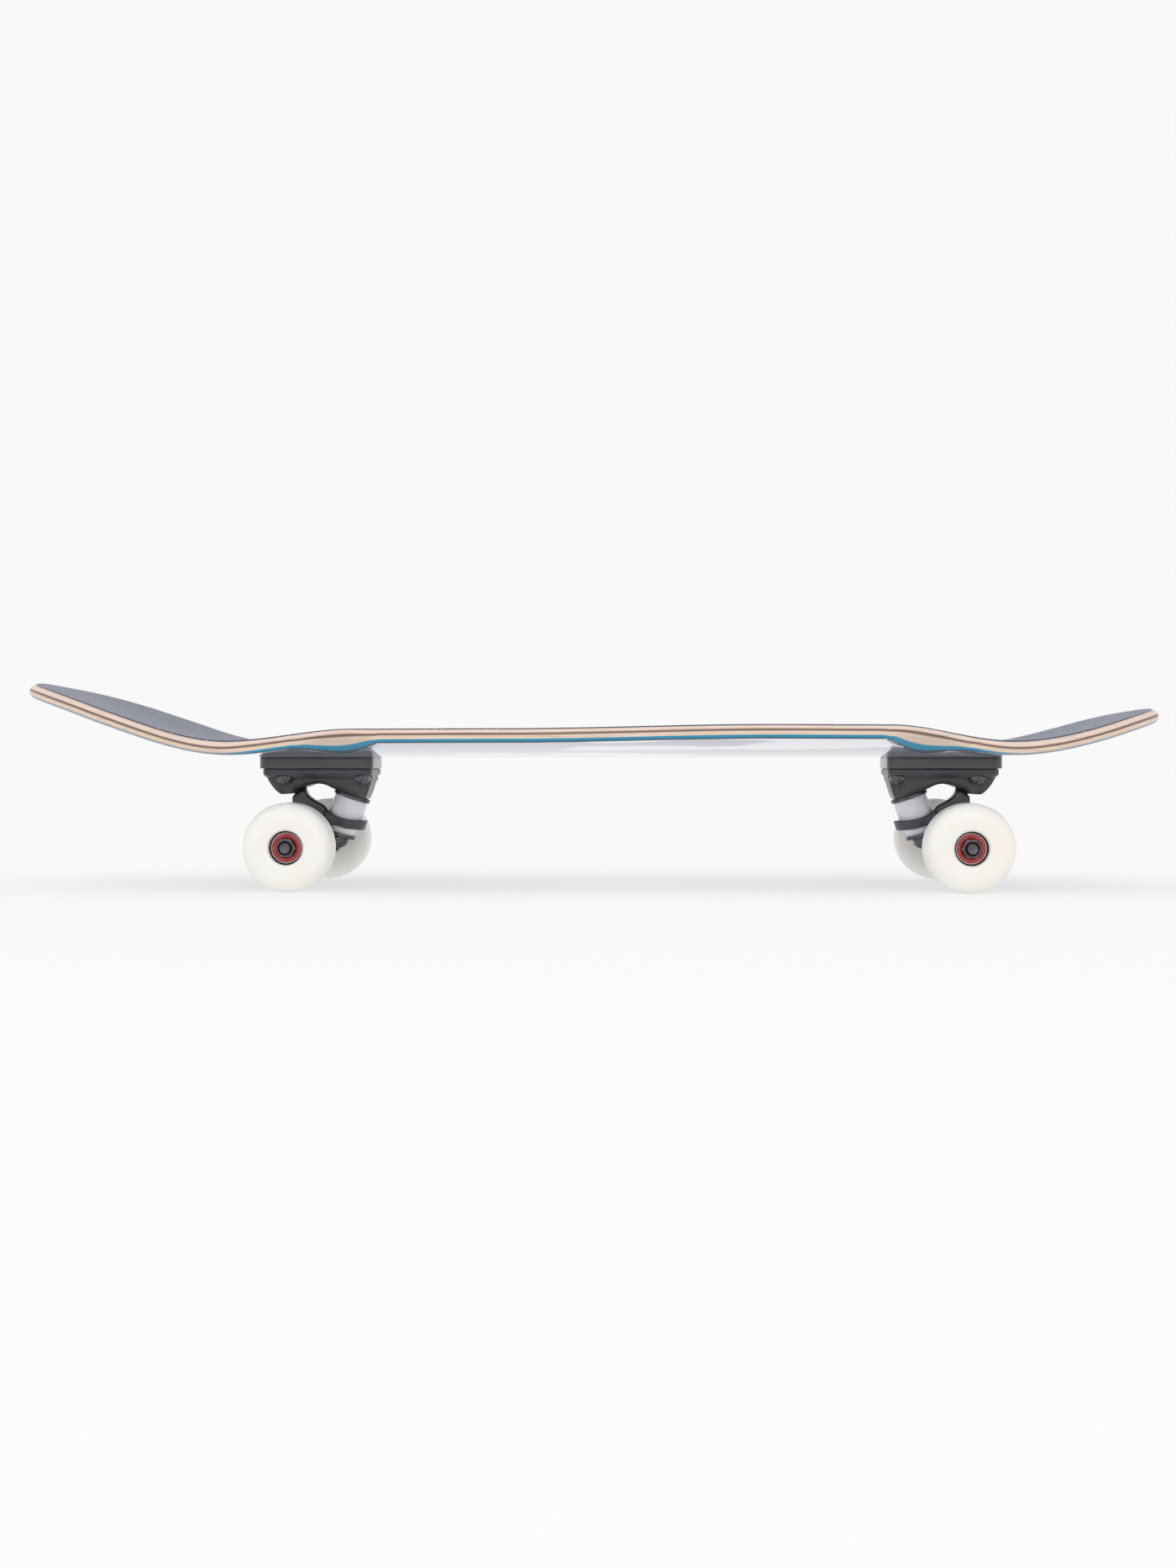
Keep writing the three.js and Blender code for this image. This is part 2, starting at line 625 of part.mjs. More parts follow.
// One truck in its own frame, which the front truck turns half round.
for (const { name, x, turn } of TRUCKS) {
  const truck = new THREE.Group();
  truck.position.x = x;
  truck.rotation.z = turn;
  skateboard.add(truck);

  const holes = truckBoltHoles();
  add(truck, `${name}_riser_pad`, riserSolid(holes), "riser");
  add(truck, `${name}_baseplate`, baseplateSolid(holes), "casting");
  add(truck, `${name}_pivot_cup`, pivotCupSolid(), "cup");
  add(truck, `${name}_kingpin`, kingpinSolid(), "steel");
  const nutAt = RING_CENTRE.clone().addScaledVector(KINGPIN_UP, STACK.nut[0]);
  const nutHeight = STACK.nut[1] - STACK.nut[0];
  const kingpinNut = hexNut(KINGPIN.nutAcrossFlats, KINGPIN.radius + GAP, nutHeight, KINGPIN_UP, nutAt);
  add(truck, `${name}_kingpin_nut`, kingpinNut, "steel");
  const upperWasher = washerSolid(STACK.upperWasher, WASHER.upperRadius, true);
  add(truck, `${name}_board_side_washer`, upperWasher, "steel");
  const upperBushing = bushingSolid(STACK.upperBushing, BUSHING.upper);
  add(truck, `${name}_board_side_bushing`, upperBushing, "bushing");
  add(truck, `${name}_hanger`, hangerSolid(), "casting");
  const lowerBushing = bushingSolid(STACK.lowerBushing, BUSHING.lower);
  add(truck, `${name}_road_side_bushing`, lowerBushing, "bushing");
  const lowerWasher = washerSolid(STACK.lowerWasher, WASHER.lowerRadius, false);
  add(truck, `${name}_road_side_washer`, lowerWasher, "steel");
  add(truck, `${name}_axle`, axleSolid(), "steel");

  for (const end of [-1, 1]) {
    const side = end * Math.cos(turn) < 0 ? "right" : "left";
    const label = `${name}_${side}`;
    const middle = end * WHEEL.middle;
    const wheel = add(truck, `${label}_wheel`, wheelSolid(), "wheel");
    wheel.position.set(AXLE.x, middle, AXLE.z);

    const bearingMiddle = BEARING.faceFromMiddle - BEARING.width / 2;
    for (const [place, outward] of [["inner", -1], ["outer", 1]]) {
      const bearing = add(truck, `${label}_${place}_bearing`, bearingSolid(), "bearing");
      bearing.position.set(AXLE.x, middle + end * outward * bearingMiddle, AXLE.z);
    }

    const { outer, halfLength } = SPACER;
    const sleeve = ring(BEARING.bore, outer, -halfLength, halfLength, ROUND, Y_AXIS, ORIGIN);
    const spacer = add(truck, `${label}_spacer`, sleeve, "brightSteel");
    spacer.position.set(AXLE.x, middle, AXLE.z);

    const outside = new THREE.Vector3(0, end, 0);
    const seat = BEARING.faceFromMiddle + BEARING.raceStandsOut + GAP;
    const nutPlace = new THREE.Vector3(AXLE.x, middle + end * seat, AXLE.z);
    const axleNut = hexNut(AXLE_NUT.acrossFlats, BEARING.bore, AXLE_NUT.height, outside, nutPlace);
    add(truck, `${label}_axle_nut`, axleNut, "steel");
  }
}

export default skateboard;
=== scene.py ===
"""A street cruiser skateboard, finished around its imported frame.

Every piece is made in metres where the frame puts it: +X towards the nose,
+Y to the rider's left, +Z up, the floor at 0.
"""

import math

import bmesh
import bpy
import numpy as np
from bpy.props import FloatProperty, FloatVectorProperty, IntProperty, PointerProperty
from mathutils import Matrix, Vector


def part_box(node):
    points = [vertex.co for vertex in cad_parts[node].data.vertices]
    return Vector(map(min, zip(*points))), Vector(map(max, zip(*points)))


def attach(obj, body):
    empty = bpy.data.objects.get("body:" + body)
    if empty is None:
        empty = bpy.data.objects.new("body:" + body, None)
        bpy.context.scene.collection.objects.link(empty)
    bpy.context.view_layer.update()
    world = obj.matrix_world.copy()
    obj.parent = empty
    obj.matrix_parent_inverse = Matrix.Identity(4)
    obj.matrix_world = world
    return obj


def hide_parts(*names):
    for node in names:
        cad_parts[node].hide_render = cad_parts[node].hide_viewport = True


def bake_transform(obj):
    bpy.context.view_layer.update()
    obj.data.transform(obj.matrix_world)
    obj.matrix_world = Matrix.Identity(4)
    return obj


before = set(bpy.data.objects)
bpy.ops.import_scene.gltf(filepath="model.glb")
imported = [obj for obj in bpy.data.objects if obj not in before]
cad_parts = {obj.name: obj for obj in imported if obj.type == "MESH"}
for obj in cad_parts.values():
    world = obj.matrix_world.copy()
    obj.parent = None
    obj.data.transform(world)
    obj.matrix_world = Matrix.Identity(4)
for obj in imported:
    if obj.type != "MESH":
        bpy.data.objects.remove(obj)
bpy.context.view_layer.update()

bl_info = {
    "name": "Street Cruiser Skateboard",
    "version": (1, 0, 0),
    "blender": (4, 5, 0),
    "location": "3D View > Sidebar > Skateboard",
    "description": "Builds the deck, trucks, wheels and fasteners of a skateboard",
    "category": "Add Mesh",
}

MM = 0.001
WELD = 1e-7
TRUCKS = ("rear", "front")
SIDES = ("left", "right")
CORNERS = [f"{truck}_{side}" for truck in TRUCKS for side in SIDES]
BOARD = "board"


def box(node):
    """The low and the high corner of a CAD node's box, in millimetres."""
    return np.array([tuple(corner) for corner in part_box(node)]) / MM


def srgb(red, green, blue):
    """A colour given in 0 to 255 display values, as linear light."""
    parts = np.array([red, green, blue]) / 255
    low = parts / 12.92
    high = ((parts + 0.055) / 1.055) ** 2.4
    return tuple(float(v) for v in np.where(parts <= 0.04045, low, high))


# ---------------------------------------------------------------- surfaces


def smoothstep(t):
    """3t^2 - 2t^3, held at 0 below 0 and at 1 above 1."""
    t = np.clip(t, 0, 1)
    return t * t * (3 - 2 * t)


def basis(axis):
    """Two directions square to the axis, and the axis itself, as rows."""
    third = np.array(axis, float) / np.linalg.norm(axis)
    helper = np.array([0, 1, 0]) if abs(third[1]) < 0.9 else np.array([1, 0, 0])
    first = np.cross(helper, third)
    first /= np.linalg.norm(first)
    return np.array([first, np.cross(third, first), third])


def softened(corners, steps=4):
    """A polyline from (x, y, cut) corners. Each corner with a cut is replaced by the
    parabola that starts and ends that far from it: (1-s)^2 A + 2s(1-s) P + s^2 B."""
    points = np.array([c[:2] for c in corners], float)
    cuts = [c[2] if len(c) > 2 else 0 for c in corners]
    line = []
    for i, (point, cut) in enumerate(zip(points, cuts)):
        if cut == 0:
            line.append(point[None])
            continue
        back, ahead = points[i - 1] - point, points[(i + 1) % len(points)] - point
        start = point + back * min(cut / np.linalg.norm(back), 0.48)
        end = point + ahead * min(cut / np.linalg.norm(ahead), 0.48)
        s = np.linspace(0, 1, steps + 1)[:, None]
        line.append((1 - s) ** 2 * start + 2 * s * (1 - s) * point + s**2 * end)
    return np.concatenate(line)


def circle(sides):
    """Evenly spaced angles once round."""
    return np.arange(sides) / sides * 2 * np.pi


def around(radius, height, sides, axis=(0, 0, 1), origin=(0, 0, 0)):
    """Points round an axis: the one at angle a is origin + radius (cos a, sin a) square to
    the axis + height along it. The radius may change with the angle."""
    angle = circle(sides)
    parts = np.broadcast_arrays(radius * np.cos(angle), radius * np.sin(angle), height)
    return np.stack(parts, axis=-1) @ basis(axis) + np.array(origin, float)


def revolved(profile, sides, axis=(0, 0, 1), origin=(0, 0, 0)):
    """A profile of (radius, height) points carried round an axis."""
    profile = np.asarray(profile, float)
    return around(profile[:, :1], profile[:, 1:2], sides, axis, origin)


def grid_faces(rows, columns, wrap_rows):
    """Quads over a grid of points numbered row by row. Each row is joined end to end, and
    so are the columns when `wrap_rows` is set."""
    r = np.arange(rows if wrap_rows else rows - 1)[:, None]
    c = np.arange(columns)[None, :]
    r1, c1 = (r + 1) % rows, (c + 1) % columns
    return np.stack([r * columns + c, r * columns + c1, r1 * columns + c1, r1 * columns + c], -1)


def mesh_from(name, points, wrap_rows=False, caps=False, **values):
    """A closed mesh from a grid of points in millimetres. `caps` closes the first and
    last rows with one flat face each. `values` are point attributes on the same grid."""
    rows, columns = points.shape[:2]
    faces = grid_faces(rows, columns, wrap_rows).reshape(-1, 4).tolist()
    if caps:
        faces.append(list(range(columns))[::-1])
        faces.append(list(range((rows - 1) * columns, rows * columns)))
    mesh = bpy.data.meshes.new(name)
    mesh.from_pydata((points.reshape(-1, 3) * MM).tolist(), [], faces)
    for key, grid in values.items():
        attribute = mesh.attributes.new(key, "FLOAT", "POINT")
        attribute.data.foreach_set("value", np.asarray(grid, np.float32).ravel())
    cleaned(mesh)
    return mesh


def cleaned(mesh):
    """Welds seams and poles, drops faces of no size and turns the skin outwards."""
    work = bmesh.new()
    work.from_mesh(mesh)
    bmesh.ops.remove_doubles(work, verts=work.verts, dist=WELD)
    bmesh.ops.dissolve_degenerate(work, edges=work.edges, dist=WELD)
    if work.calc_volume(signed=True) < 0:
        bmesh.ops.reverse_faces(work, faces=work.faces)
    work.to_mesh(mesh)
    work.free()


def linked(name, data):
    """An object that shows the data in the scene."""
    made = bpy.data.objects.new(name, data)
    bpy.context.scene.collection.objects.link(made)
    return made


def new_object(name, mesh, *materials, sharp=35):
    """A smooth-shaded object whose creases over `sharp` degrees stay crisp."""
    slots = np.zeros(len(mesh.polygons), np.int32)
    mesh.polygons.foreach_get("material_index", slots)
    mesh.materials.clear()
    for material in materials:
        mesh.materials.append(material)
    mesh.polygons.foreach_set("material_index", np.minimum(slots, len(materials) - 1))
    mesh.shade_smooth()
    mesh.set_sharp_from_angle(angle=math.radians(sharp))
    return linked(name, mesh)


def placed(made, body, slot, *nodes):
    """The piece rides on a body and stands for the CAD nodes. The slot is not used."""
    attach(made, body)
    if nodes:
        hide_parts(*nodes)


def joined(name, meshes):
    """One mesh of several, with their vertices side by side."""
    work = bmesh.new()
    for mesh in meshes:
        work.from_mesh(mesh)
    whole = bpy.data.meshes.new(name)
    work.to_mesh(whole)
    work.free()
    return whole


def applied(name, made):
    """The object's mesh after its modifiers. The object itself goes."""
    graph = bpy.context.evaluated_depsgraph_get()
    result = bpy.data.meshes.new_from_object(made.evaluated_get(graph))
    bpy.data.objects.remove(made)
    result.name = name
    return result


def cut_and_joined(name, base, adds, cuts, keeps=()):
    """The solid `base` with `adds` joined to it, `cuts` taken away and cropped to `keeps`."""
    helpers = []
    made = linked(name, base)
    for operation, tools in (("UNION", adds), ("DIFFERENCE", cuts), ("INTERSECT", keeps)):
        for tool in tools:
            helpers.append(linked("tool", tool))
            modifier = made.modifiers.new("boolean", "BOOLEAN")
            modifier.operation, modifier.solver = operation, "MANIFOLD"
            modifier.object = helpers[-1]
    result = applied(name, made)
    for helper in helpers:
        bpy.data.objects.remove(helper)
    return result


def cast_skin(name, mesh, voxel, rounds):
    """A solid as a casting: one even skin whose edges are worn round."""
    made = linked(name, mesh)
    remesh = made.modifiers.new("remesh", "REMESH")
    remesh.mode, remesh.voxel_size, remesh.adaptivity = "VOXEL", voxel * MM, 0
    smooth = made.modifiers.new("smooth", "SMOOTH")
    smooth.factor, smooth.iterations = 0.5, rounds
    return applied(name, made)


def rims(low, high, edge, steps):
    """The side of a slab with a quarter round at both rims, as insets and heights: drawn
    in by edge (1 - cos a) at edge (1 - sin a) from each face."""
    angle = np.linspace(0, np.pi / 2, steps + 1)
    inset = edge * (1 - np.cos(angle))[::-1]
    lift = edge * (1 - np.sin(angle))[::-1]
    return np.concatenate([inset, inset[::-1]]), np.concatenate([low + lift, high - lift[::-1]])


def slab_mesh(name, outline, low, high, edge):
    """An upright plate with rounded rims, whose outline is drawn in towards its centre."""
    insets, heights = rims(low, high, edge, 4)
    centre = outline.mean(0)
    away = outline - centre
    shrink = 1 - insets[:, None, None] / np.abs(away).max(0)
    flat = centre + away * shrink
    points = np.concatenate([flat, np.repeat(heights[:, None, None], len(outline), 1)], -1)
    return mesh_from(name, points, caps=True)


def rounded_rectangle(low, high, radius):
    """The corners of a rectangle as quarter circles, joined by straight sides."""
    angle = np.linspace(0, np.pi / 2, 9)
    corners = []
    for quarter, (right, up) in enumerate([(1, 1), (0, 1), (0, 0), (1, 0)]):
        turn = angle + quarter * np.pi / 2
        x = (low[0] + radius, high[0] - radius)[right]
        y = (low[1] + radius, high[1] - radius)[up]
        corners.append(np.stack([x + radius * np.cos(turn), y + radius * np.sin(turn)], -1))
    return np.concatenate(corners)


def unit(vectors):
    """Each row at a length of 1."""
    return vectors / np.linalg.norm(vectors, axis=1)[:, None]


def side_slab_mesh(name, profile, half_width, edge):
    """A side profile in x and z as a slab in y with rounded rims. Each ring is the profile
    moved inwards along its own corner normals."""
    profile = np.asarray(profile, float)
    following = np.roll(profile, -1, 0)
    along = unit(following - profile) + unit(profile - np.roll(profile, 1, 0))
    normal = unit(np.stack([-along[:, 1], along[:, 0]], -1))
    area = np.sum(profile[:, 0] * following[:, 1] - following[:, 0] * profile[:, 1])
    insets, across = rims(-half_width, half_width, edge, 3)
    flat = profile[None] + (normal * np.sign(area))[None] * insets[:, None, None]
    y = np.repeat(across[:, None], len(profile), 1)
    return mesh_from(name, np.stack([flat[..., 0], y, flat[..., 1]], -1), caps=True)


# ---------------------------------------------------------------- finishes


class Value:
    """A number socket. Python operators on it add Math nodes to its tree."""

    def __init__(self, finish, socket):
        self.finish = finish
        self.socket = socket

    def _math(self, operation, first, second=0.5):
        node = self.finish.node("ShaderNodeMath", {"operation": operation}, {0: first, 1: second})
        return Value(self.finish, node.outputs[0])

    def __add__(self, other):
        return self._math("ADD", self, other)

    __radd__ = __add__

    def __sub__(self, other):
        return self._math("SUBTRACT", self, other)

    def __rsub__(self, other):
        return self._math("SUBTRACT", other, self)

    def __mul__(self, other):
        return self._math("MULTIPLY", self, other)

    __rmul__ = __mul__

    def cos(self):
        return self._math("COSINE", self)

    def above(self, edge, soft):
        """0 below the edge and 1 above it, over a soft step of that width."""
        low, high = edge - soft / 2, edge + soft / 2
        inputs = {"Value": self, "From Min": low, "From Max": high}
        settings = {"interpolation_type": "SMOOTHSTEP"}
        node = self.finish.node("ShaderNodeMapRange", settings, inputs)
        return Value(self.finish, node.outputs[0])

    def between(self, low, high, soft):
        """1 between two edges and 0 outside them."""
        return self.above(low, soft) * (1 - self.above(high, soft))


class Finish:
    """One material and its node tree, with the calls that its recipe needs."""

    def __init__(self, name, colour, roughness, metallic=0.0, **constants):
        self.material = bpy.data.materials.new(name)
        self.material.use_nodes = True
        self.tree = self.material.node_tree
        self.shader = self.tree.nodes["Principled BSDF"]
        self.set("Base Color", (*colour, 1))
        self.set("Roughness", roughness)
        self.set("Metallic", metallic)
        for key, value in constants.items():
            self.set(key.replace("_", " "), value)
        self.places = None

    def set(self, socket, value):
        """Puts a constant, a Value or an output socket into one of the shader's inputs."""
        self._feed(self.shader.inputs[socket], value)
        return self

    def _feed(self, target, value):
        if isinstance(value, Value):
            self.tree.links.new(value.socket, target)
        elif isinstance(value, bpy.types.NodeSocket):
            self.tree.links.new(value, target)
        else:
            target.default_value = value

    def node(self, kind, settings, inputs):
        """Adds a node: its settings first, then the values or links of its inputs."""
        made = self.tree.nodes.new(kind)
        for key, value in settings.items():
            setattr(made, key, value)
        for key, value in inputs.items():
            self._feed(made.inputs[key], value)
        return made

    def here(self, scale=(1, 1, 1), turn=(0, 0, 0)):
        """The object's own coordinates, turned and stretched."""
        if self.places is None:
            self.places = self.node("ShaderNodeTexCoord", {}, {}).outputs["Object"]
        inputs = {"Vector": self.places, "Scale": scale, "Rotation": turn}
        return self.node("ShaderNodeMapping", {}, inputs).outputs[0]

    def attribute(self, name):
        node = self.node("ShaderNodeAttribute", {"attribute_name": name}, {})
        return Value(self, node.outputs["Fac"])

    def noise(self, scale, detail=3, roughness=0.5, stretch=(1, 1, 1), turn=(0, 0, 0)):
        inputs = {"Vector": self.here(stretch, turn), "Scale": scale, "Detail": detail}
        inputs["Roughness"] = roughness
        return Value(self, self.node("ShaderNodeTexNoise", {}, inputs).outputs["Fac"])

    def cells(self, scale, output="Distance"):
        inputs = {"Vector": self.here(), "Scale": scale}
        return Value(self, self.node("ShaderNodeTexVoronoi", {}, inputs).outputs[output])

    def mix(self, factor, first, second, blend="MIX"):
        """Goes from the first colour to the second as the factor goes from 0 to 1."""
        settings = {"data_type": "RGBA", "blend_type": blend}
        made = self.node("ShaderNodeMix", settings, {})
        self._feed(made.inputs["Factor"], factor)
        for socket, colour in ((6, first), (7, second)):
            linkable = isinstance(colour, bpy.types.NodeSocket)
            self._feed(made.inputs[socket], colour if linkable else (*colour, 1))
        return made.outputs[2]

    def bump(self, height, distance, strength=1.0):
        """Bump from a height of 0 to 1, `distance` millimetres deep."""
        inputs = {"Height": height, "Distance": distance * MM, "Strength": strength}
        return self.set("Normal", self.node("ShaderNodeBump", {}, inputs).outputs[0])


def maple_finish(look):
    """The deck: dyed and natural plies by their depth in the laminate, long grain along
    the board, and a painted underside with pale slanting strokes under a clear gloss."""
    finish = Finish("laminated_maple", look.top_ply, 0.42)
    depth = finish.attribute("ply")
    between = finish.attribute("between")
    painted = finish.attribute("painted").above(0.5, 0.5)
    grain = finish.noise(900, 4, 0.6, (0.035, 1, 1))
    pores = finish.noise(2600, 2, 0.5, (0.02, 1, 1))
    teal = finish.mix(between, look.bottom_ply_worn, look.bottom_ply)
    # Painted shade: a dark band on the lower rounding of the rails, where they turn under, between
    # the kicks.
    teal = finish.mix((1 - depth.above(-0.01, 0.03)) * between, teal, look.bottom_edge_shade)
    bands = teal
    for start, soft, ply in (
        (0.14, 0.03, look.light_ply),
        (0.40, 0.12, look.brown_ply),
        (0.585, 0.13, look.top_ply),
        (0.82, 0.1, look.face_ply),
    ):
        bands = finish.mix(depth.above(start, soft), bands, ply)
    glue = depth.between(0.278, 0.292, 0.02) + depth.between(0.7, 0.715, 0.02)
    wood = finish.mix(glue * 0.3, bands, look.brown_ply)
    streaks = grain.above(0.56, 0.2) * 0.2 + pores.above(0.62, 0.1) * 0.16
    wood = finish.mix(streaks, wood, srgb(176, 138, 112), "MULTIPLY")
    slant = (0, 0, math.radians(32))
    strokes = finish.noise(26, 1, 0.3, (0.34, 1.6, 1), slant).above(0.60, 0.035)
    wash = finish.noise(9, 2, 0.5, (0.6, 1, 1))
    paint = finish.mix(wash, look.underside, look.underside_wash)
    paint = finish.mix(strokes, paint, look.stroke)
    finish.set("Base Color", finish.mix(painted, wood, paint))
    finish.set("Roughness", 0.42 - painted * 0.34 + grain * 0.06)
    finish.set("Coat Weight", painted)
    finish.set("Coat Roughness", 0.04)
    return finish.bump((grain * 0.6 + pores * 0.4) * (1 - painted), 0.06).material


def grip_finish(look):
    """Abrasive sheet: dark grains of mixed size that catch the light at a low angle."""
    finish = Finish("grip_sheet", look.grit, 0.85, Sheen_Weight=1.0, Sheen_Roughness=0.35)
    finish.set("Sheen Tint", (*look.sheen, 1))
    grains = finish.cells(1500)
    sparkle = finish.cells(900, "Color")
    cloud = finish.noise(14, 3, 0.6)
    glint = Value(finish, sparkle.socket).above(0.86, 0.08)
    colour = finish.mix(cloud * 0.5, look.grit, look.grit_worn)
    finish.set("Base Color", finish.mix(glint * 0.55, colour, srgb(168, 172, 184)))
    finish.set("Roughness", 0.9 - glint * 0.45)
    return finish.bump(1 - grains, 0.28, 0.9).material


def black_plastic_finish(name, colour, worn):
    """Moulded black plastic: a fine even texture, slightly greyer in soft random clouds."""
    finish = Finish(name, colour, 0.3, Coat_Weight=0.5, Coat_Roughness=0.1)
    mottle = finish.noise(60, 3, 0.6)
    texture = finish.noise(3800, 2, 0.6)
    finish.set("Base Color", finish.mix(mottle.above(0.5, 0.5) * 0.5, colour, worn))
    finish.set("Roughness", 0.22 + mottle * 0.14)
    return finish.bump(texture, 0.03).material


def painted_casting_finish(look):
    """Satin black paint over a sand casting: pebbled skin and a little dust."""
    finish = Finish("painted_casting", look.casting, 0.38, Specular_IOR_Level=0.6)
    pebble = finish.noise(900, 3, 0.55)
    cloud = finish.noise(40, 3, 0.6)
    dust = cloud.above(0.52, 0.3) * 0.55
    finish.set("Base Color", finish.mix(dust, look.casting, look.casting_light))
    finish.set("Roughness", 0.24 + cloud * 0.16)
    return finish.bump(pebble, 0.05).material


def steel_finish(name, colour, roughness, shine=1.0):
    """Turned or plated steel: fine scratches and slow changes of tone."""
    finish = Finish(name, colour, roughness, shine)
    cloud = finish.noise(150, 3, 0.6)
    scratch = finish.noise(2400, 2, 0.5, (0.1, 1, 1))
    darker = tuple(c * 0.55 for c in colour)
    finish.set("Base Color", finish.mix(cloud.above(0.5, 0.5), colour, darker))
    finish.set("Roughness", roughness + scratch * 0.12)
    return finish.bump(scratch, 0.01).material


def blackened_steel(look):
    """The blackened steel that every kingpin, washer, axle and bolt shares."""
    name = "blackened_steel"
    return bpy.data.materials.get(name) or steel_finish(name, look.black_steel, 0.3)


def zinc_plate(look):
    """The plated steel that the lock nuts and the spacers share."""
    name = "zinc_plate"
    return bpy.data.materials.get(name) or steel_finish(name, look.bright_steel, 0.15)


def urethane_finish(name, colour, shade, roughness, depth):
    """Cast urethane: light goes a little way in, with faint clouds and a fine skin."""
    finish = Finish(name, colour, roughness, Subsurface_Weight=0.35, Subsurface_Scale=depth * MM)
    finish.set("Subsurface Radius", (1.0, 0.85, 0.7))
    cloud = finish.noise(45, 3, 0.5)
    skin = finish.noise(1400, 2, 0.6)
    finish.set("Base Color", finish.mix(cloud.above(0.5, 0.6) * 0.6, colour, shade))
    finish.set("Roughness", roughness + cloud * 0.1)
    return finish.bump(skin, 0.02).material


def shield_finish(look):
    """The red rubber shield: short paler dashes in a ring, as moulded marks."""
    finish = Finish("bearing_shield", look.shield, 0.42)
    turn = finish.attribute("turn")
    out = finish.attribute("out")
    dashes = (turn * (2 * math.pi * 22)).cos().above(0.1, 0.5) * out.between(0.48, 0.66, 0.08)
    gaps = (turn * (2 * math.pi * 3)).cos().above(-0.55, 0.2)
    cloud = finish.noise(260, 3, 0.6)
    colour = finish.mix(cloud * 0.7, look.shield, look.shield_dark)
    finish.set("Base Color", finish.mix(dashes * gaps * 0.5, colour, srgb(214, 140, 134)))
    finish.set("Roughness", 0.34 + cloud * 0.2)
    return finish.bump(dashes * gaps, 0.08).material


# ---------------------------------------------------------------- settings


def length(name, description, millimetres):
    default = millimetres * MM
    return FloatProperty(
        name=name, description=description, default=default, unit="LENGTH", precision=4
    )


def slope(name, description, degrees):
    default = math.radians(degrees)
    return FloatProperty(name=name, description=description, default=default, subtype="ANGLE")


def colour(name, description, default):
    return FloatVectorProperty(
        name=name, description=description, default=default, subtype="COLOR", min=0, max=1
    )


class DeckSettings(bpy.types.PropertyGroup):
    """Sizes and colours of the deck and its grip sheet."""

    thickness: length("Thickness", "Thickness of the laminate", 8.8)
    grip_thickness: length("Grip thickness", "Thickness of the abrasive sheet with its glue", 0.7)
    grip_inset: length("Grip inset", "How far the sheet stays inside the outline", 2.4)
    edge_round: length("Edge round", "Radius of the rounded rails", 4)
    flat_half_width: length("Flat strip", "Half width of the flat strip down the middle", 27)
    concave_power: FloatProperty(
        name="Concave power", description="How late the rails curl up", default=1.7
    )
    tail_angle: slope("Tail angle", "Slope of the tail", 21.8)
    nose_angle: slope("Nose angle", "Slope of the nose", 19.5)
    well_depth: length("Wheel well depth", "Depth of the scoops above the wheels at the rail", 4.2)
    face_ply: colour("Face ply", "Natural maple under the grip sheet", srgb(206, 190, 180))
    top_ply: colour("Top plies", "Natural maple of the upper plies", srgb(226, 203, 187))
    light_ply: colour("Lower plies", "Pale maple of the lower plies", srgb(228, 206, 184))
    brown_ply: colour("Middle ply", "Dyed brown ply", srgb(118, 94, 86))
    bottom_ply: colour("Bottom ply", "Dyed teal ply", srgb(18, 144, 182))
    bottom_ply_worn: colour("Bottom ply at the kicks", "Rubbed pale", srgb(150, 162, 172))
    # Painted shade: this dark band on the rails' lower rounding stands in for the shade where they
    # turn under.
    bottom_edge_shade: colour("Lower edge", "Painted shade on the lower rounding", srgb(58, 78, 96))
    underside: colour("Underside", "Paint on the underside", srgb(150, 152, 170))
    underside_wash: colour("Underside wash", "Paler cloud in that paint", srgb(178, 180, 196))
    stroke: colour("Strokes", "Pale strokes on the underside", srgb(244, 244, 248))
    grit: colour("Grit", "The abrasive sheet", srgb(70, 73, 84))
    grit_worn: colour("Worn grit", "The abrasive sheet where it is dusty", srgb(98, 102, 114))
    sheen: colour("Grit sheen", "Light scattered by the grit at a low angle", srgb(204, 206, 220))


class TruckSettings(bpy.types.PropertyGroup):
    """Sizes and colours of the trucks and what holds them."""

    skin: length("Casting skin", "Spacing of the points of a casting's skin", 0.55)
    wear: IntProperty(name="Casting wear", description="How round its edges are worn", default=6)
    casting: colour("Casting", "Black paint on the baseplate and hanger", srgb(48, 47, 53))
    casting_light: colour("Casting, lighter", "The same paint where it is dusty", srgb(74, 73, 79))
    riser: colour("Riser", "Black plastic of the riser pads", srgb(58, 57, 63))
    riser_light: colour("Riser, lighter", "The same plastic on its wide areas", srgb(76, 75, 81))
    bushing: colour("Bushing", "Cloudy clear urethane", srgb(234, 236, 238))
    bushing_shade: colour("Bushing shade", "The same urethane in its depth", srgb(220, 223, 226))
    black_steel: colour("Black steel", "Kingpins, washers, axles and nuts", srgb(104, 103, 107))
    bright_steel: colour("Bright steel", "Mounting nuts and spacers", srgb(104, 103, 109))


class WheelSettings(bpy.types.PropertyGroup):
    """Sizes and colours of the wheels and bearings."""

    tread_half: length("Half tread", "Half the width of the flat tread", 9)
    urethane: colour("Urethane", "White wheel", srgb(238, 236, 231))
    urethane_shade: colour("Urethane shade", "White wheel in its clouds", srgb(235, 230, 221))
    shield: colour("Shield", "Red rubber shield", srgb(186, 58, 60))
    shield_dark: colour("Shield, darker", "The same rubber in its clouds", srgb(140, 34, 38))


class StageSettings(bpy.types.PropertyGroup):
    """Light, floor and camera."""

    surround: colour("Surround", "Light that comes from all round", srgb(249, 249, 250))
    floor: colour("Floor", "Pale floor", (0.285, 0.285, 0.27))
    floor_glow: colour("Floor glow", "Light that the floor gives by itself", (0.63, 0.63, 0.648))
    lamp: FloatProperty(name="Lamp", description="Strength of the light from above", default=0.55)
    fill: FloatProperty(name="Fill", description="Power of the light in front", default=6)
    lens: FloatProperty(name="Lens", description="Focal length", default=50.74, unit="CAMERA")


